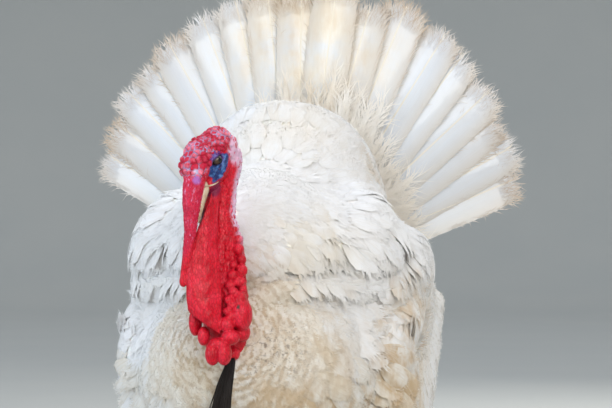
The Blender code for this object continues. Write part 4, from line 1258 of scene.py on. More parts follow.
def makeBeard():
    # a bristle's point = root + spread x (3.6 mm + 13.5 mm t) + wave(t) - 20 mm t sideways, forward as it clears
    # the breast, and down by its length t
    n, parts = beardForm["bristles"], beardForm["parts"]
    t = np.linspace(0, 1, parts)[None]
    spread = rng.uniform(-1, 1, (n, 1))
    spread = np.sign(spread) * np.abs(spread) ** 0.8
    depth = rng.uniform(-1, 1, (n, 1))
    length = beardForm["length"] * rng.uniform(0.62, 1.0, (n, 1)) * (1 - 0.1 * np.abs(spread))
    phase = rng.uniform(0, 6.3, (n, 1))
    x = spread * (0.0036 + 0.0135 * t) + 0.0016 * np.sin(6 * t + phase) * t - 0.02 * t
    y = -0.016 - 0.017 * np.minimum(1, 3 * t) + depth * (0.0035 + 0.005 * t) + 0.001 * np.cos(7 * t + phase) * t
    line = np.stack([x, y, -length * t], -1) + np.array(beardForm["root"]) + shift
    thick = beardForm["thick"] * rng.uniform(0.7, 1.2, (n, 1)) * (1 - 0.72 * t)
    angle = np.arange(4) * math.pi / 2
    ring = np.stack([np.cos(angle), np.sin(angle), 0 * angle], -1)
    points = line[:, :, None] + ring[None, None] * thick[..., None, None]
    size = parts * 4
    template = gridFaces(parts, 4, True)[:, ::-1]
    ends = np.array([[0, 1, 2, 3], [size - 1, size - 2, size - 3, size - 4]])
    made = newObject("beardBristles", points, manyFaces(np.concatenate([template, ends]), n, size))
    putValue(made, "tone", np.repeat(rng.uniform(0, 1, n), size))
    putValue(made, "tip", np.tile(np.repeat(t[0], 4), n))
    root = ball(placed(beardForm["root"]) + (0, -0.012, 0.001), (0.0085, 0.012, 0.009))
    knob = joinForms("beardRoot", [root])
    paintSkin(knob, np.ones(len(root[0])))
    finishPiece(knob, bareMaterial, "red_skin")
    material, tree, shader = newMaterial("bristle", Roughness=0.55, Specular_IOR_Level=0.25)
    colour = blendColours(tree, attributeOf(tree, "tone"), (0.003, 0.003, 0.004), (0.011, 0.01, 0.01))
    colour = blendColours(tree, times(tree, attributeOf(tree, "tip"), 0.5), colour, (0.06, 0.04, 0.028))
    tree.links.new(colour, shader.inputs["Base Color"])
    finishPiece(made, material, "black_bristle", "beard")


makeBeard()
print("beard")


# legs: plated shanks and toes, claws and spurs
legForm = {
    "hock": (0.09, 0.038, 0.168), "foot": (0.1, -0.022, 0.024), "shank": 0.0118, "toe": 0.0095, "claw": 0.017,
    "toes": (("inner", 32, 0.066), ("middle", 2, 0.092), ("outer", -30, 0.07), ("hind", 172, 0.034)),
    "voxel": 0.0012, "faces": 44000, "plate": 0.0082, "toePlate": 0.0066, "scale": 0.0027,
    "plateSpread": 1.15, "toePlateHalf": 0.0085,
}
legLook = {
    "flesh": (0.72, 0.5, 0.43), "pale": (0.82, 0.68, 0.56), "groove": (0.42, 0.19, 0.15),
    "dirt": (0.3, 0.23, 0.16),
}


def makeLegMaterial():
    made, tree, shader = newMaterial(
        "legSkin", Specular_IOR_Level=0.4, Subsurface_Weight=0.1, Subsurface_Radius=(0.004, 0.002, 0.0015),
    )
    place = addNode(tree, "TexCoord").outputs["Object"]
    grain = addNode(tree, "Group", {"Place": place}, node_tree=skinGrain)
    mottle, pebbles = grain.outputs["Mottle"], grain.outputs["Pebbles"]
    colour = blendColours(tree, ramp(tree, mottle, 0.35, 0.62), legLook["flesh"], legLook["pale"])
    colour = blendColours(tree, times(tree, attributeOf(tree, "groove"), 0.8), colour, legLook["groove"])
    low = addNode(tree, "SeparateXYZ", {0: place}).outputs[2]
    dirt = times(tree, ramp(tree, low, 0.045, 0.0), ramp(tree, mottle, 0.4, 0.6))
    colour = blendColours(tree, times(tree, dirt, 0.6), colour, legLook["dirt"])
    tree.links.new(colour, shader.inputs["Base Color"])
    tree.links.new(fromTo(tree, mottle, 0.36, 0.6), shader.inputs["Roughness"])
    bumpInto(tree, shader, times(tree, pebbles, -1.0), 0.3, 0.0005)
    return made


def toeLines(sign):
    # each toe's line along the floor, as the part's toes run
    foot = mirrored(legForm["foot"], sign) + shift
    steps, lift = (0.0, 0.35, 0.62, 0.86, 1.0), (0.006, 0.001, 0.0, -0.0015, -0.003)
    lines = {}
    for name, degrees, length in legForm["toes"]:
        heading = math.radians(degrees) * -sign + math.radians(6) * sign
        ahead = np.array([math.sin(heading), -math.cos(heading), 0])
        base = foot + np.array([0, 0, -0.013])
        lines[name] = np.array([base + ahead * length * t + np.array([0, 0, h]) for t, h in zip(steps, lift)])
    return lines


def plateRelief(along, turn, step, spread, stagger):
    # distance to the nearest plate border: plates of one length along, in rows split at turn = 0 and ended at
    # the spread
    row = along / step + stagger * (turn > 0)
    share = row - np.floor(row)
    rows = np.minimum(np.abs(turn), spread - np.abs(turn)) if stagger else spread - np.abs(turn)
    return np.minimum(np.minimum(share, 1 - share) * step, rows * 0.01), share


def makeLeg(side, sign, material):
    hock, foot = (mirrored(legForm[k], sign) + shift for k in ("hock", "foot"))
    down = foot - hock
    path = [hock + down * t for t in (-0.16, 0.0, 0.14, 0.45, 0.85, 1.02)]
    radii = [r * legForm["shank"] for r in (1.05, 1.22, 1.0, 0.9, 0.98, 1.1)]
    toeRadii = [legForm["toe"] * r for r in (1.08, 0.92, 0.86, 0.78, 0.55)]
    forms = [tube(path, radii, 50, 32), ball(foot + (0, -0.004, -0.01), (0.0175, 0.02, 0.0165))]
    lines = toeLines(sign)
    knuckles = lambda u, v: 0.0009 * np.cos(v * 2 * math.pi * 3) * np.clip(np.sin(u), -0.3, 1)
    forms += [tube(line, toeRadii, 50, 24, 0.92, (1.0, 0.2, 0.0), knuckles) for line in lines.values()]
    made = fuse(joinForms("leg", forms), legForm["voxel"], 2)
    points, normals = corners(made), normalsOf(made)
    way = unit(down)
    along = (points - hock) @ way
    across = points - hock - along[:, None] * way
    front = unit(np.array([0, -1.0, 0]) + way * way[1])
    turn = np.arctan2(across @ np.cross(way, front), across @ front)
    spread, half = legForm["plateSpread"], legForm["toePlateHalf"]
    border, share = plateRelief(along, turn, legForm["plate"], spread, 0.5)
    onPlates = (np.abs(turn) < spread) & (points[:, 2] > 0.03)
    for line in lines.values():
        flat = unit(line[-1] - line[0])
        t = (points - line[0]) @ flat
        off = points - line[0] - t[:, None] * flat
        level = norms(off[:, :2]) * np.sign(off @ np.cross(flat, (0, 0, 1.0)))
        mine = (np.abs(level) < half) & (t > 0.012) & (points[:, 2] < 0.03) & (normals[:, 2] > 0.15)
        toeBorder, toeShare = plateRelief(t, level / half, legForm["toePlate"], 0.86, 0)
        border, share = np.where(mine, toeBorder, border), np.where(mine, toeShare, share)
        onPlates = onPlates | mine
    seeds, _ = surfacePlaces(made, 9000)
    seeds = seeds[spreadOut(seeds, np.full(len(seeds), legForm["scale"]))]
    _, small = cobbleBorders(points, seeds)
    plate = 0.0009 * domed(border, 0.0013) + 0.0005 * share
    pebble = 0.0005 * domed(small, 0.0011)
    points = points + normals * (np.where(onPlates, plate, pebble) - 0.0006)[:, None]
    points[:, 2] = np.maximum(points[:, 2], 0.0004)
    setCorners(made, points)
    made.data.name = "legSkin_" + side
    made.name = "legSkin_" + side
    edge = np.where(onPlates, border, small)
    putValue(made, "groove", smoothstep(0.0008, 0.0002, edge))
    thinTo(made, legForm["faces"])
    finishPiece(made, material, "leg_skin", "shank_" + side, "foot_" + side)
    for name, line in lines.items():
        ahead = unit((line[-1] - line[0]) * (1, 1, 0))
        tip, claw = line[-1] + (0, 0, 0.002), legForm["claw"]
        curve = [
            tip - ahead * 0.006, tip + ahead * claw * 0.4 + (0, 0, 0.0014),
            tip + ahead * claw * 0.8 + (0, 0, -0.0018), tip + ahead * claw + (0, 0, -0.005),
        ]
        form = tube(curve, (0.0043, 0.0042, 0.0026, 0.0008), 24, 16, 0.8, (-ahead[1], ahead[0], 0))
        form[0][:, 2] = np.maximum(form[0][:, 2], 0.0004)
        hornPiece(f"claw_{side}_{name}_horn", form, 16, hornMaterial, f"claw_{side}_{name}")
    root = hock + down * 0.68 - front * legForm["shank"] * 0.6
    spurWay = unit(-front + np.array([-sign, 0, 0]) * 0.5 - np.array([0, 0, 0.15]))
    curve = [root + spurWay * 0.021 * t + np.array([0, 0, 0.004 * t * t]) for t in (0, 0.45, 0.8, 1.0)]
    form = tube(curve, (0.0056, 0.0044, 0.0026, 0.0008), 24, 18, 0.9, (0, 0, 1.0))
    hornPiece(f"spur_{side}_horn", form, 18, hornMaterial, "spur_" + side)


legMaterial = makeLegMaterial()
for legSide, legSign in (("left", 1), ("right", -1)):
    makeLeg(legSide, legSign, legMaterial)
print("legs")


# feathers: flat vane coordinates x across and y along are bent up into space by each feather's own curve
def bendFeather(f, x, y, lift):
    # y follows an arc that starts at the feather's rise and turns by its bend; x is cupped by the cup
    rise = f["rise"][:, None] + 0 * y
    bend = np.where(np.abs(f["bend"]) < 0.05, 0.05, f["bend"])[:, None]
    along = (np.sin(rise + bend * y) - np.sin(rise)) / bend
    height = (np.cos(rise) - np.cos(rise + bend * y)) / bend
    sway = x + f["sway"][:, None] * y * y
    height = height + lift - f["cup"][:, None] * x * x
    side = np.cross(f["along"], f["face"])
    return (
        f["root"][:, None]
        + side[:, None] * sway[..., None]
        + f["along"][:, None] * along[..., None]
        + f["face"][:, None] * height[..., None]
    )


def faceFeather(f, x, y, form):
    # soft shading: the normal eases from the skin's facing at the root to its facing at the tip, rounded across
    share = np.clip(y / f["length"][:, None], 0, 1.1)[..., None]
    angle = (f["rise"][:, None] + f["bend"][:, None] * y)[..., None]
    facing = f["face"][:, None] * (1 - share) + f["tipFace"][:, None] * share
    bent = f["face"][:, None] * np.cos(angle) - f["along"][:, None] * np.sin(angle)
    side = np.cross(f["along"], f["face"])[:, None]
    across = np.clip(x / (0.5 * f["width"][:, None]), -1.2, 1.2)[..., None]
    return unit(facing + (bent - facing) * form["crisp"] + side * across * form["rounded"])


def vaneShare(t, form):
    # share of half the width at t along: opens from the quill, then closes to the tip's roundness
    opened = np.clip(t / form["open"], 0, 1) ** 0.75
    opened = form["quill"] + (1 - form["quill"]) * opened
    closed = 1 - (1 - form["blunt"]) * np.clip((t - form["close"]) / (1 - form["close"]), 0, 1) ** form["taper"]
    return opened * closed


def bladeMesh(f, form):
    # a lens: the upper and lower faces share the rim, which is notched where barbs have parted
    rows, columns = form["rows"] + 1, form["columns"] + 1
    count = len(f["root"])
    t = np.repeat(np.linspace(0, 1, rows), columns)[None]
    u = np.tile(np.linspace(-1, 1, columns), rows)[None]
    edge = np.abs(u) > 0.999
    last = t > 0.999
    half = f["width"][:, None] / 2
    notch = rng.uniform(-1, 1, (count, rows * columns)) * form["notch"]
    x = u * half * vaneShare(t, form) * (1 + np.where(edge, notch * 1.2, 0))
    y = f["length"][:, None] * form["bladeEnd"] * (t - form["round"] * u * u * t ** 3)
    y = y + f["length"][:, None] * np.where(edge | last, notch * 0.55, 0)
    ripple = form["ripple"] * np.sin(t * 9 + 5 * u + 6.3 * f["tone"][:, None]) * t * np.abs(u)
    wall = form["thick"] * np.where(edge | last | (t < 0.001), 0, 1 - 0.7 * np.abs(u)) * np.ones_like(x)
    inner = ~(edge | last | (t < 0.001))[0]
    upper = bendFeather(f, x, y, wall / 2 + ripple)
    lower = bendFeather(f, x, y, -wall / 2 + ripple)[:, inner]
    mapped = np.arange(rows * columns)
    mapped[inner] = rows * columns + np.arange(inner.sum())
    quads = gridFaces(rows, columns)[:, ::-1]
    template = np.concatenate([quads, mapped[quads][:, ::-1]])
    points = np.concatenate([upper, lower], 1)
    facing = faceFeather(f, x, y, form)
    facing = np.concatenate([facing, facing[:, inner]], 1)
    uv = np.stack([0.5 + 0.5 * u[0], t[0] * form["bladeEnd"]], -1)
    uv = np.concatenate([uv, uv[inner]])
    size = points.shape[1]
    tip = np.broadcast_to(np.concatenate([t[0], t[0][inner]]) ** 6 * form["bladeTip"], (count, size))
    faces = manyFaces(template, count, size)
    local = np.broadcast_to(uv, (count, size, 2))
    return points, faces, local, tip, facing


def barbMesh(f, form):
    # loose barbs: three-sided slivers that leave the vane, run outward and forward, and end in a point
    count, n, parts = len(f["root"]), form["barbs"], form["barbParts"]
    place = rng.uniform(0, 1, (count, n))
    onTip = rng.uniform(0, 1, (count, n)) < form["tipBarbs"]
    sign = np.where(rng.uniform(0, 1, (count, n)) < 0.5, -1.0, 1.0)
    low = np.where(onTip, form["tipFrom"], form["barbFrom"])
    t0 = low + (form["barbTo"] - low) * place
    u0 = rng.uniform(-1, 1, (count, n))
    u0 = np.where(onTip, u0, sign * rng.uniform(0.86, 1.0, (count, n))) * form["barbRoot"]
    half = f["width"][:, None] / 2
    startX = u0 * half * vaneShare(t0, form)
    startY = f["length"][:, None] * form["bladeEnd"] * (t0 - form["round"] * u0 * u0 * t0 ** 3)
    angle = np.where(onTip, u0 * form["splay"], sign * (form["splay"] * (1.25 - 0.45 * t0)))
    angle = angle + rng.normal(0, form["stray"], (count, n))
    grow = smoothstep(form["barbFrom"] - 0.05, 0.95, t0)
    reach = f["width"][:, None] * (form["barbShort"] + (form["barbLong"] - form["barbShort"]) * grow)
    reach = reach * rng.uniform(0.6, 1.15, (count, n))
    curl = rng.normal(0, 0.35, (count, n))
    s = np.concatenate([np.repeat(np.linspace(0, 1, parts + 1)[:-1], 3), [1.0]])
    k = np.concatenate([np.tile([0, 1, 2], parts), [0]])
    s, k = s[None, None], k[None, None]
    way = angle[..., None] + curl[..., None] * s
    thin = form["barbWidth"] * (1 - 0.6 * s) * np.where(s > 0.999, 0, 1)
    offset = np.where(k == 0, -0.5, np.where(k == 1, 0.5, 0.0)) * thin
    x = startX[..., None] + reach[..., None] * s * np.sin(way) + offset * np.cos(way)
    y = startY[..., None] + reach[..., None] * s * np.cos(way) - offset * np.sin(way)
    drift = f["tone"][:, None]  # barbs gather in clumps: tips at the end across the vane, side ones along it
    pullX = (np.round(u0 * form["clumps"] + drift) - drift) / form["clumps"] - u0
    pullY = (np.round(t0 * 5 * form["clumps"] + drift) - drift) / (5 * form["clumps"]) - t0
    pullX = np.where(onTip, pullX, 0) * half * form["gather"]
    pullY = np.where(onTip, 0, pullY) * f["length"][:, None] * form["gather"]
    x = x + pullX[..., None] * s * s
    y = y + pullY[..., None] * s * s
    lift = np.where(k == 2, 0.42, 0.0) * thin + form["thick"] * 0.35
    lift = lift + (rng.normal(form["fluff"], form["ruffle"], (count, n, 1)) * reach[..., None]) * s * s
    size = 3 * parts + 1
    shape = (count, n * size)
    points = bendFeather(f, x.reshape(shape), y.reshape(shape), lift.reshape(shape))
    side = []
    for p in range(parts - 1):
        for a, b in ((0, 1), (1, 2), (2, 0)):
            side += [(3 * p + a, 3 * p + b, 3 * p + 3 + b), (3 * p + a, 3 * p + 3 + b, 3 * p + 3 + a)]
    end = 3 * (parts - 1)
    side += [(end, end + 1, size - 1), (end + 1, end + 2, size - 1), (end + 2, end, size - 1), (0, 2, 1)]
    template = np.array(side)
    faces = manyFaces(template, count * n, size)
    shade = np.broadcast_to(np.clip(0.5 + 0.5 * u0, 0.02, 0.98)[..., None], x.shape)
    uv = np.stack([shade, np.broadcast_to(t0[..., None], x.shape)], -1).reshape(count, n * size, 2)
    tip = np.broadcast_to((0.15 + 0.85 * s) * np.clip(grow, 0.25, 1)[..., None], x.shape).reshape(shape)
    facing = faceFeather(f, x.reshape(shape), y.reshape(shape), form)
    return points, faces, uv, tip, facing


def shaftMesh(f, form):
    # the quill: a four-sided rod along the vane's middle, tapering to the tip
    count, parts = len(f["root"]), 10
    s = np.repeat(np.linspace(0, 1, parts), 4)[None]
    k = np.tile([0, 1, 2, 3], parts)[None]
    thin = form["shaft"] * (1 - 0.82 * s)
    x = np.where(k == 0, -1, np.where(k == 2, 1, 0)) * thin
    lift = np.where(k == 1, 1, np.where(k == 3, -0.4, 0)) * thin + form["thick"] * 0.4
    y = f["length"][:, None] * 0.97 * s
    points = bendFeather(f, x + 0 * y, y, lift + 0 * y)
    size = 4 * parts
    template = gridFaces(parts, 4, True)
    ends = np.array([[3, 2, 1, 0], [size - 4, size - 3, size - 2, size - 1]])
    faces = np.concatenate([manyFaces(template, count, size), manyFaces(ends, count, size)])
    uv = np.broadcast_to(np.stack([0.5 + 0 * s[0], s[0]], -1), (count, size, 2))
    return points, faces, uv, np.zeros((count, size)), faceFeather(f, x + 0 * y, y, form)


def featherPiece(name, f, form, material, replaced=()):
    # blades, loose barbs and quills of all these feathers as one mesh with its maps and tones
    made = [bladeMesh(f, form)]
    if form["barbs"]:
        made.append(barbMesh(f, form))
    if form["shaft"]:
        made.append(shaftMesh(f, form))
    points, faces, vaneUv, bakeUv, tone, tip, facing, start = [], [], [], [], [], [], [], 0
    for p, q, uv, worn, turned in made:
        points.append(p.reshape(-1, 3))
        faces.append(q + start)
        start += len(points[-1])
        vaneUv.append(uv.reshape(-1, 2))
        bakeUv.append((f["bake"][:, None] + 0.003 * (uv - 0.5)).reshape(-1, 2))
        tone.append(np.broadcast_to(f["tone"][:, None], uv.shape[:2]).ravel())
        tip.append(worn.ravel())
        facing.append(turned.reshape(-1, 3))
    thing = newObject(name, np.concatenate(points), faces)
    putUv(thing, "vane", np.concatenate(vaneUv))
    putUv(thing, "OFBake", np.concatenate(bakeUv))
    putValue(thing, "tone", np.concatenate(tone))
    putValue(thing, "tip", np.concatenate(tip))
    putNormals(thing, np.concatenate(facing))
    thing.data.calc_loop_triangles()
    print(name, len(f["root"]), "feathers", len(thing.data.loop_triangles), "triangles")
    return finishPiece(thing, material, "white_feather", *replaced)


def bakePlace(points):
    # an unwrap of the bird's own form: turn about the upright through the body, and height along it
    middle = placed([0.0, 0.05, 0.0])
    away = points - middle
    turn = np.arctan2(away[:, 0], -away[:, 1]) / (2 * np.pi) + 0.5
    return np.stack([0.01 + 0.98 * turn, np.clip(away[:, 2] / 0.95 + 0.01, 0.01, 0.99)], -1)


def featherSet(root, along, face, length, width, rise=0.0, bend=0.0, cup=0.0, sway=0.0):
    # the arrays of one set of feathers, with the lie and the outer face made square to each other
    root = np.asarray(root, float).reshape(-1, 3)
    n = len(root)
    along = unit(np.broadcast_to(np.asarray(along, float), (n, 3)))
    face = np.broadcast_to(np.asarray(face, float), (n, 3))
    face = unit(face - along * (face * along).sum(-1, keepdims=True))
    fill = {"length": length, "width": width, "rise": rise, "bend": bend, "cup": cup, "sway": sway}
    made = {key: np.broadcast_to(np.asarray(value, float), (n,)).copy() for key, value in fill.items()}
    made.update(root=root, along=along, face=face, tipFace=face.copy())
    made.update(tone=rng.uniform(0, 1, n), bake=bakePlace(root))
    return made


# the fan: eighteen tail feathers and the coverts in front of and behind them
rng = np.random.default_rng(23)
fan = {
    "centre": (-0.016, 0.215, 0.446), "from": 22.5, "to": 150.0, "lean": 7.0,
    "top": 0.468, "side": 0.38, "tails": 18, "width": 0.073, "shingle": 0.14, "step": 0.0048,
}
tailForm = {
    "rows": 40, "columns": 10, "bladeEnd": 0.955, "open": 0.5, "quill": 0.08, "close": 0.88, "blunt": 0.74,
    "taper": 2.4, "round": 0.02, "notch": 0.012, "ripple": 0.001, "bladeTip": 0.3, "thick": 0.001,
    "barbs": 330, "barbParts": 2, "tipBarbs": 0.7, "tipFrom": 0.93, "barbTo": 0.998, "barbFrom": 0.55,
    "barbRoot": 0.97, "splay": 0.42, "stray": 0.1, "barbShort": 0.07, "barbLong": 0.34, "barbWidth": 0.0014,
    "ruffle": 0.05, "fluff": 0.0, "shaft": 0.0019, "clumps": 7.0, "gather": 0.55, "crisp": 1.0, "rounded": 0.42,
}


def fanWay(angle):
    lean = math.radians(fan["lean"])
    return np.stack([np.cos(angle), np.sin(lean) * np.sin(angle), np.cos(lean) * np.sin(angle)], -1)


def fanReach(angle):
    first, last = math.radians(fan["from"]), math.radians(fan["to"])
    off = np.abs(angle - (first + last) / 2) / ((last - first) / 2)
    return fan["top"] - (fan["top"] - fan["side"]) * off ** 1.6


def fanTier(count, reach, width, forward, spread, start, facing=-1.0, bend=0.0, uneven=0.006):
    # feathers side by side round the fan, the middle ones lying in front
    first, last = math.radians(fan["from"] - spread), math.radians(fan["to"] + spread)
    angle = np.linspace(first, last, count) + rng.normal(0, uneven, count)
    right = angle < (first + last) / 2
    along = fanWay(angle)
    length = (fanReach(angle) * reach - start) * rng.uniform(0.985 - 2.5 * uneven, 1.015, count)
    front = np.array([0, facing, 0.0])
    root = np.array(fan["centre"]) + along * start + np.array([0, -forward, 0.0]) + shift
    root = root + front * np.where(right, fan["step"], 0)[:, None]
    across = np.cross(along, front)
    tilt = fan["shingle"] * np.where(right, 1, -1) * -facing
    face = unit(front - across * tilt[:, None])
    width = width * rng.uniform(1 - 6 * uneven, 1 + 6 * uneven, count)
    return featherSet(root, along, face, length, width, 0.0, bend)


bodyLook = {
    "white": (0.91, 0.92, 0.94), "wash": 0.2, "rough": 0.8, "sheen": 0.3, "glow": 0.35, "barbs": 34.0,
    "slant": 0.6, "lineShare": 0.06, "shaftWidth": 0.025, "shaftShare": 0.1, "shaftColour": (0.9, 0.85, 0.76),
    "edgeTintAndShadeShare": 0.03, "edgeTintAndShadeColour": (0.86, 0.82, 0.75), "tipShare": 0.06, "tipColour": (0.8, 0.73, 0.62),
    "toneShare": 0.16, "toneColour": (0.95, 0.92, 0.87), "aside": 0.016, "fibres": 18.0, "fibreShare": 0.34,
    "fibreColour": (0.78, 0.73, 0.66),
}
featherLooks = {
    "body": bodyLook,
    # the tail's white is darker and bluer than the body's: the fan's sky-lit shade painted into its colour
    "tail": dict(
        bodyLook,
        white=(0.7, 0.745, 0.805), wash=0.08, rough=0.62, sheen=0.15, glow=0.25, barbs=120.0, slant=0.9,
        shaftWidth=0.03, shaftShare=0.8, shaftColour=(0.9, 0.82, 0.66), edgeTintAndShadeShare=0.62,
        edgeTintAndShadeColour=(0.76, 0.7, 0.61), tipShare=0.9, tipColour=(0.5, 0.36, 0.23), toneShare=0.3,
        toneColour=(0.94, 0.9, 0.84), aside=0.0, fibres=30.0, fibreShare=0.12, fibreColour=(0.66, 0.62, 0.56),
    ),
    "covert": dict(
        bodyLook,
        white=(0.93, 0.91, 0.87), wash=0.35, barbs=50.0, slant=0.8, lineShare=0.08, shaftWidth=0.02,
        shaftColour=(0.84, 0.76, 0.6), edgeTintAndShadeShare=0.05, edgeTintAndShadeColour=(0.84, 0.77, 0.66), tipShare=0.14,
        tipColour=(0.72, 0.6, 0.45), toneShare=0.3, toneColour=(0.94, 0.89, 0.8), aside=0.012, fibres=20.0,
        fibreShare=0.15, fibreColour=(0.78, 0.7, 0.58),
    ),
    "blade": dict(
        bodyLook,
        white=(0.91, 0.92, 0.93), wash=0.3, rough=0.74, sheen=0.2, glow=0.3, barbs=46.0, slant=0.8,
        lineShare=0.1, shaftWidth=0.03, shaftShare=0.35, shaftColour=(0.84, 0.75, 0.58), edgeTintAndShadeShare=0.22,
        edgeTintAndShadeColour=(0.74, 0.64, 0.5), tipShare=0.3, tipColour=(0.55, 0.44, 0.31), toneShare=0.55,
        toneColour=(0.86, 0.79, 0.66), aside=0.018, fibres=22.0, fibreShare=0.4, fibreColour=(0.66, 0.56, 0.42),
    ),
    "foot": dict(
        bodyLook,
        white=(0.92, 0.9, 0.86), wash=0.6, glow=0.3, barbs=30.0, slant=0.7, lineShare=0.08, shaftWidth=0.03,
        shaftShare=0.2, shaftColour=(0.84, 0.75, 0.58), edgeTintAndShadeShare=0.15, edgeTintAndShadeColour=(0.7, 0.6, 0.44),
        tipShare=0.4, tipColour=(0.58, 0.45, 0.29), toneShare=0.3, toneColour=(0.88, 0.8, 0.66), aside=0.008,
        fibres=16.0, fibreShare=0.3, fibreColour=(0.72, 0.62, 0.47),
    ),
    "wing": dict(
        bodyLook,
        rough=0.66, sheen=0.15, glow=0.25, barbs=90.0, slant=0.9, lineShare=0.13, shaftWidth=0.035,
        shaftShare=0.6, shaftColour=(0.84, 0.74, 0.56), edgeTintAndShadeShare=0.25, edgeTintAndShadeColour=(0.78, 0.7, 0.58),
        tipShare=0.5, tipColour=(0.5, 0.39, 0.27), toneShare=0.25, toneColour=(0.9, 0.86, 0.79), aside=0.012,
        fibres=24.0, fibreShare=0.25, fibreColour=(0.66, 0.58, 0.47),
    ),
}
feathers = {name: makeFeatherMaterial(name + "Feather", look) for name, look in featherLooks.items()}

plumeForm = dict(
    tailForm, rows=9, columns=4, bladeEnd=0.66, open=0.4, quill=0.2, close=0.4, blunt=0.12, taper=1.0,
    round=0.12, notch=0.05, ripple=0.0015, bladeTip=0.0, barbs=140, tipBarbs=0.6, tipFrom=0.35, barbTo=0.99,
    barbFrom=0.12, barbLong=0.56, barbShort=0.26, stray=0.24, splay=0.62, ruffle=0.1, fluff=0.05,
    barbWidth=0.0013, shaft=0.0, gather=0.15, rounded=0.12,
)


def makeTail():
    tails = fanTier(fan["tails"], 0.995, fan["width"], -0.008, 0, 0.032, uneven=0.013)
    featherPiece("tailFeathers", tails, tailForm, feathers["tail"], ["tail"])
    tiers = [  # count, reach, width, forward
        (19, 0.84, 0.068, 0.004), (18, 0.77, 0.066, 0.009), (18, 0.71, 0.066, 0.014),
        (17, 0.65, 0.064, 0.019), (17, 0.59, 0.062, 0.024), (15, 0.53, 0.06, 0.029),
    ]
    sets = [fanTier(n, reach, width, forward, 9, 0.06, bend=0.7) for n, reach, width, forward in tiers]
    for f in sets:
        angle = np.degrees(np.arctan2(f["along"][:, 2], f["along"][:, 0]))
        f["length"] *= rng.uniform(0.86, 1.08, len(angle)) * (0.94 + 0.26 * np.exp(-((angle - 80) / 24) ** 2))
    featherPiece("tailCoverts", mergeSets(sets), plumeForm, feathers["covert"], ["tail_coverts"])
    tiers = [
        (15, 0.6, 0.066, -0.036), (13, 0.5, 0.064, -0.044), (11, 0.38, 0.062, -0.052), (9, 0.26, 0.06, -0.058),
    ]
    sets = [fanTier(n, reach, width, forward, 26, 0.02, 1.0, bend=-0.6) for n, reach, width, forward in tiers]
    sets.append(fanTier(21, 0.6, 0.06, -0.036, 72, 0.01, 1.0, bend=-0.6))  # and round below, over the vent
    featherPiece("underTail", mergeSets(sets), plumeForm, feathers["covert"], ["undertail"])


def mergeSets(sets):
    return {key: np.concatenate([f[key] for f in sets]) for key in sets[0]}


makeTail()


# the wings: flight feathers and coverts from the arm's line, each lying under its neighbour nearer the body
wing = {
    "wrist": (0.193, -0.082, 0.35), "elbow": (0.185, 0.105, 0.425), "hand": (0.193, -0.045, 0.245),
    "shingle": 0.14, "wrap": 55.0, "wrapIn": 0.02,
    "tuft": ((0.183, -0.098, 0.346), (0.199, -0.066, 0.358)),
}
flightForm = dict(
    tailForm, rows=30, columns=6, bladeEnd=0.97, barbs=80, barbLong=0.22, barbShort=0.08, barbFrom=0.45,
    tipBarbs=0.5, blunt=0.5, close=0.82, ruffle=0.03, shaft=0.0017, notch=0.015, bladeTip=0.2, tipFrom=0.86,
    rounded=0.35,
)
wingCovertForm = dict(
    flightForm, rows=10, columns=4, bladeEnd=0.93, open=0.4, close=0.66, blunt=0.45, round=0.1, barbs=44,
    barbParts=1, barbFrom=0.35, tipFrom=0.75, barbLong=0.3, barbShort=0.12, stray=0.18, ruffle=0.06,
    shaft=0.0008, notch=0.03,
)
tuftForm = dict(
    wingCovertForm, rows=6, bladeEnd=0.8, barbs=56, barbFrom=0.2, tipFrom=0.55, barbLong=0.6, splay=0.6,
    shaft=0.0,
)


def wingTier(sign, count, start, end, angles, lengths, width, lift, bend=-0.3, wrap=1.0):
    share = np.linspace(0, 1, count)
    start, end = np.asarray(start, float), np.asarray(end, float)
    root = start + (end - start) * share[:, None]
    angle = np.radians(angles[0] + (angles[1] - angles[0]) * share) + rng.normal(0, 0.012, count)
    length = (lengths[0] + (lengths[1] - lengths[0]) * share) * rng.uniform(0.97, 1.02, count)
    along = np.stack([0.07 + 0.06 * share, np.sin(angle), -np.cos(angle)], -1)
    wrap = wrap * (1 - share) ** 2  # the front coverts wrap round the wing's leading edge
    turn = np.radians(wing["wrap"]) * wrap
    face = np.stack([np.cos(turn), -np.sin(turn), 0 * turn], -1)
    root = root + face * lift - np.array([1.0, 0, 0]) * (wing["wrapIn"] * wrap)[:, None]
    mirror = np.array([sign, 1.0, 1.0])
    along, face = along * mirror, face * mirror
    across = np.cross(along, face)
    face = unit(face + across * wing["shingle"] * sign)
    width = width * rng.uniform(0.96, 1.04, count)
    return featherSet(root * mirror + shift, along, face, length, width, 0.0, bend)


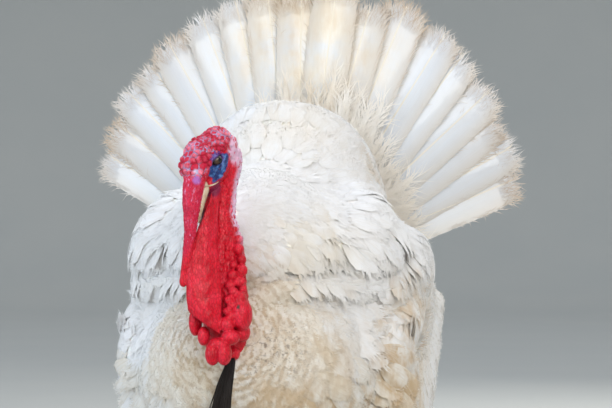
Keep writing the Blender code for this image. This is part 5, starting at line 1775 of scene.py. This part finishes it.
def makeWing(side, sign):
    wrist, elbow, hand = (np.array(wing[k]) for k in ("wrist", "elbow", "hand"))
    up = np.array([0, 0, 1.0])
    flight = mergeSets([
        wingTier(sign, 10, hand, wrist, (9, 36), (0.236, 0.275), 0.036, 0.0, wrap=0),
        wingTier(sign, 17, wrist + (0, 0.006, 0), elbow, (38, 77), (0.258, 0.19), 0.044, 0.001, wrap=0),
    ])
    featherPiece("flight_" + side, flight, flightForm, feathers["wing"], ["wing_" + side])
    coverts = mergeSets([
        wingTier(sign, 18, wrist, elbow, (30, 74), (0.15, 0.122), 0.036, 0.007),
        wingTier(sign, 18, wrist + up * 0.014, elbow + up * 0.01, (30, 72), (0.118, 0.098), 0.034, 0.0105),
        wingTier(sign, 18, wrist + up * 0.026, elbow + up * 0.018, (29, 70), (0.09, 0.08), 0.031, 0.0135),
        wingTier(sign, 10, hand + up * 0.02, wrist + up * 0.01, (12, 32), (0.132, 0.13), 0.033, 0.007),
        wingTier(sign, 10, hand + up * 0.03, wrist + up * 0.02, (12, 32), (0.092, 0.096), 0.031, 0.012),
    ])
    featherPiece("wingCoverts_" + side, coverts, wingCovertForm, feathers["wing"])
    tuft = mergeSets([
        wingTier(sign, 6, *wing["tuft"], (182, 170), (0.036, 0.042), 0.017, 0.012, 1.0),
        wingTier(sign, 5, *wing["tuft"], (178, 172), (0.024, 0.028), 0.017, 0.015, 1.0),
    ])
    featherPiece("wingTuft_" + side, tuft, tuftForm, feathers["body"])


for wingSide, wingSign in (("left", 1), ("right", -1)):
    makeWing(wingSide, wingSign)


# the body's own feathers, set over the skin in rows that ring the neck
rng = np.random.default_rng(31)
coat = {
    "neckLine": ((-0.012, -0.232, 0.6), (-0.006, -0.275, 0.375)), "wattleFoot": (-0.006, -0.285, 0.365),
    "mantleRow": 0.0165, "footRow": 0.01, "breastRow": 0.021, "wingRow": 0.016, "samples": 90000,
    "roll": 0.045, "height": 0.0037, "overhang": 0.014, "pieceFaces": 185000,
}
softForm = {
    "rows": 5, "columns": 4, "bladeEnd": 0.76, "open": 0.45, "quill": 0.35, "close": 0.5, "blunt": 0.42,
    "taper": 1.6, "round": 0.16, "notch": 0.05, "ripple": 0.0, "bladeTip": 0.0, "thick": 0.0004, "barbs": 62,
    "barbParts": 1, "tipBarbs": 0.74, "tipFrom": 0.46, "barbTo": 0.99, "barbFrom": 0.36, "barbRoot": 0.92,
    "splay": 0.4, "stray": 0.09, "barbShort": 0.2, "barbLong": 0.5, "barbWidth": 0.0017, "ruffle": 0.01,
    "fluff": -0.02, "shaft": 0.0, "clumps": 5.0, "gather": 0.2, "crisp": 0.25, "rounded": 0.1,
}
bladeForm = dict(
    softForm, rows=8, bladeEnd=0.92, close=0.66, blunt=0.5, taper=2.0, round=0.12, ripple=0.0007, barbs=64,
    tipFrom=0.74, barbLong=0.36, barbShort=0.14, notch=0.06, ruffle=0.03, stray=0.1, crisp=0.8, rounded=0.42,
)


def bodyRegions(q):
    # shares of 0 to 1 by place: wing, thigh, mantle, the part over the crease, rear, breast, its low blades and
    # the wattle's foot
    x, y, z = np.abs(q[:, 0]), q[:, 1], q[:, 2]
    foot = norms((q - np.array(coat["wattleFoot"])) / np.array([1.15, 1.0, 0.95]))
    return {
        "wing": smoothstep(0.165, 0.195, x) * smoothstep(0.545, 0.49, z) * smoothstep(-0.13, -0.07, y),
        "thigh": smoothstep(0.245, 0.215, z),
        "mantle": smoothstep(0.56, 0.62, z),
        "hang": smoothstep(0.015, -0.06, y) * smoothstep(0.452, 0.472, z) * smoothstep(0.545, 0.505, z),
        "rear": smoothstep(0.1, 0.15, y),
        "breast": smoothstep(0.46, 0.43, z) * smoothstep(0.02, -0.08, y),
        "blades": smoothstep(0.365, 0.32, z) * smoothstep(0.06, -0.04, y) * smoothstep(0.075, 0.12, foot),
        "foot": smoothstep(0.135, 0.085, foot),
    }


def fromNeckLine(q):
    # the way from the nearest place on the neck's line to each place
    top, foot = (np.array(end) for end in coat["neckLine"])
    share = np.clip((q - top) @ (foot - top) / ((foot - top) @ (foot - top)), 0, 1)
    return q - top - (foot - top) * share[:, None]


def rowPhase(q, region):
    # how far along its rows each place lies: rings round the neck, the wattle's foot, or across the wing
    foot = np.array(coat["wattleFoot"])
    waver = 0.3 * np.sin(31 * q[:, 0] + 17 * q[:, 2]) + 0.25 * np.sin(43 * q[:, 1] - 23 * q[:, 2] + 29 * q[:, 0])
    row = np.where(region["blades"] > 0.5, coat["breastRow"], coat["mantleRow"])
    rings = norms(fromNeckLine(q)) / row
    ruffle = norms(q - foot) / coat["footRow"]
    wingRows = (q[:, 1] * 0.72 - q[:, 2] * 0.68) / coat["wingRow"]
    thighRows = -q[:, 2] / coat["mantleRow"]
    phase = np.where(region["foot"] > 0.5, ruffle, rings)
    phase = np.where(region["wing"] > 0.5, wingRows, np.where(region["thigh"] > 0.5, thighRows, phase))
    return phase + waver


def layCoat():
    points, normals = surfacePlaces(bodyMesh, coat["samples"])
    q = points - shift
    region = bodyRegions(q)
    fromNeck = norms(fromNeckAxis(q))
    neckSize = np.interp(q[:, 2], np.array(headForms["neckPath"])[:, 2], headForms["neckRadii"])
    bare = (fromNeck < neckSize) & (q[:, 2] < 0.6) & (q[:, 2] > 0.37)
    phase = rowPhase(q, region)
    close = smoothstep(0.085, 0.045, norms(fromNeckLine(q)))
    inRow = phase - np.floor(phase) < 0.28 + 0.4 * np.maximum(region["wing"], region["thigh"]) + 0.7 * close
    length = 0.065 - 0.003 * region["mantle"] - 0.014 * region["wing"] - 0.024 * region["thigh"]
    length = length + 0.014 * region["hang"] + 0.012 * region["blades"]
    length = length - 0.029 * region["foot"] * (1 - region["blades"] * 0.6)
    length = length * (0.6 + 0.4 * smoothstep(0.03, 0.09, fromNeck)) * (1 - 0.25 * close)
    keep = np.flatnonzero(~bare & (q[:, 2] > 0.178))
    # the rows come first, then single feathers where gaps are left
    keep = keep[np.argsort(~inRow[keep], kind="stable")]
    points, normals, length, q, inRow = points[keep], normals[keep], length[keep], q[keep], inRow[keep]
    region = someOf(region, keep)
    rowGap = 0.198 + 0.035 * region["blades"] + 0.03 * region["rear"]
    spacing = length * (1 - 0.16 * smoothstep(0.64, 0.69, q[:, 2]))
    spacing = spacing * np.where(inRow, rowGap, 0.36 - 0.14 * close[keep])
    chosen = spreadOut(points, spacing)
    points, normals, length, q = points[chosen], normals[chosen], length[chosen], q[chosen]
    region = someOf(region, chosen)
    chest = smoothstep(0.6, 0.5, q[:, 2]) * smoothstep(0.02, -0.06, q[:, 1])
    away = unit(fromNeckLine(q)) + np.array([0, 0.35, 0]) - chest[:, None] * np.array([0, 0, 0.9])
    fromFoot = unit(q - np.array(coat["wattleFoot"])) + np.array([0, 0.3, -0.15])
    near = np.maximum(region["foot"], 0.55 * region["breast"])[:, None]
    away = away + (fromFoot - away) * near
    sign = np.sign(q[:, :1])
    wingWay = np.array([0.0, 0.72, -0.68]) + sign * np.array([[0.12, 0, 0]])
    thighWay = np.array([0.0, 0.3, -1.0])
    guide = away + (wingWay * 1.6 - away) * region["wing"][:, None]
    guide = guide + (thighWay - guide) * (region["thigh"] * (1 - region["wing"]))[:, None]
    guide = unit(guide) + rng.normal(0, 0.05, guide.shape) * (1 + region["blades"])[:, None]
    along = unit(guide - normals * (guide * normals).sum(1, keepdims=True))
    above = q[:, 2] - foldLine(q)
    # what hangs over the fold ends just past it
    reach = (above + coat["overhang"]) / np.maximum(-along[:, 2], 0.35)
    hanging = (q[:, 1] < -0.01) & (above > 0) & (along[:, 2] < -0.2) & (reach < length)
    some = np.flatnonzero(~(hanging & (above < 0.012)))
    length = np.where(hanging, np.maximum(reach, 0.024), length)[some] * rng.uniform(0.92, 1.08, len(some))
    points, normals, along, q, hanging = points[some], normals[some], along[some], q[some], hanging[some]
    region = someOf(region, some)
    count = len(points)
    width = length * (0.56 - 0.12 * region["blades"] - 0.12 * region["hang"] + 0.04 * region["foot"])
    width = width * rng.uniform(0.92, 1.08, count)
    target = coat["height"] + 0.006 * region["blades"] + 0.002 * hanging + 0.001 * region["foot"]
    rise = target / length + rng.normal(0, 0.002, count)
    cup = 2.2 + 3.0 * region["blades"]
    roll = np.cross(along, normals) * (coat["roll"] * np.where(q[:, :1] > -0.008, 1, -1))
    sway = rng.normal(0, 0.5, count)
    f = featherSet(points, along, unit(normals + roll), length, width, rise, -6.0, cup, sway)
    fitToSkin(f, target + rng.uniform(-0.0002, 0.0002 + 0.002 * region["blades"], count))
    return f, q, region


def fitToSkin(f, target):
    # bends each feather until its tip stands its own height over the skin
    tree = BVHTree.FromObject(bodyMesh, bpy.context.evaluated_depsgraph_get())
    zero = np.zeros((len(f["root"]), 1))
    for _ in range(4):
        tips = bendFeather(f, zero, f["length"][:, None], 0.0)[:, 0]
        found = [tree.find_nearest(tip)[:2] for tip in tips]
        ground = np.array([place for place, _ in found])
        normal = np.array([facing for _, facing in found])
        height = ((tips - ground) * normal).sum(1)
        f["bend"] = np.clip(f["bend"] - 1.6 * (height - target) / f["length"] ** 2, -24, 10)
    f["tipFace"] = normal
    side = 0.4 * f["width"]
    for _ in range(2):  # and cups it until its edges lie as near as its middle
        x = side[:, None] * np.array([-1.0, 0.0, 1.0])
        places = bendFeather(f, x, 0.62 * f["length"][:, None] + 0 * x, 0.0)
        found = [tree.find_nearest(place)[:2] for place in places.reshape(-1, 3)]
        ground = np.array([place for place, _ in found]).reshape(-1, 3, 3)
        facing = np.array([normal for _, normal in found]).reshape(-1, 3, 3)
        height = ((places - ground) * facing).sum(2)
        high = (height[:, 0] + height[:, 2]) / 2 - height[:, 1]
        f["cup"] = np.clip(f["cup"] + 0.8 * high / side ** 2, 0, 16)


def makeCoat():
    f, q, region = layCoat()
    groups = {
        "wingShoulder": region["wing"] > 0.5,
        "wattleFoot": (region["foot"] > 0.5) & (region["blades"] < 0.5),
        "lowBreast": region["blades"] > 0.5,
        "mantle": (q[:, 2] > 0.575),
        "chest": (q[:, 2] > 0.475) & (q[:, 1] < 0.02),
        "breast": (q[:, 1] < 0.0),
    }
    left = np.ones(len(q), bool)
    for name, inside in list(groups.items()) + [("rear", left)]:
        mine = inside & left
        left = left & ~mine
        index = np.flatnonzero(mine)
        form = bladeForm if name == "lowBreast" else softForm
        look = {"lowBreast": "blade", "wattleFoot": "foot"}.get(name, "body")
        each = 4 * (form["rows"] * form["columns"] + form["barbs"])
        parts = math.ceil(len(index) * each / coat["pieceFaces"])
        for part, some in enumerate(np.array_split(index, parts)):
            tag = name if parts == 1 else f"{name}_{'abcdefgh'[part]}"
            featherPiece(tag + "Feathers", someOf(f, some), form, feathers[look])


makeCoat()


remove(bodyMesh)


# a round studio: flat floor that curves up into a pale wall
def makeStage():
    # a surface of revolution: radius and height of the profile turned about the upright
    flat, bend, sides = studio["flat"], studio["bend"], studio["sides"]
    turn = np.linspace(0, math.pi / 2, 14)
    radius = np.concatenate([np.linspace(0.05, flat, 8), flat + bend * np.sin(turn[1:]), [flat + bend] * 2])
    height = np.concatenate([np.zeros(8), bend * (1 - np.cos(turn[1:])), studio["wall"]])
    u = np.linspace(0, 2 * np.pi, sides, endpoint=False)
    points = np.stack([radius[:, None] * np.cos(u), radius[:, None] * np.sin(u), height[:, None] + 0 * u], -1)
    made = newObject("floor", points, [gridFaces(len(radius), sides, True)[:, ::-1], np.arange(sides)[None]])
    material, tree, shader = newMaterial("floorPaint", Roughness=0.85)
    place = addNode(tree, "TexCoord").outputs["Object"]
    colour = blendColours(tree, noise(tree, place, 2.2, 3.0), studio["floor"], studio["floorWarm"])
    tree.links.new(colour, shader.inputs["Base Color"])
    made.data.materials.append(material)


makeStage()
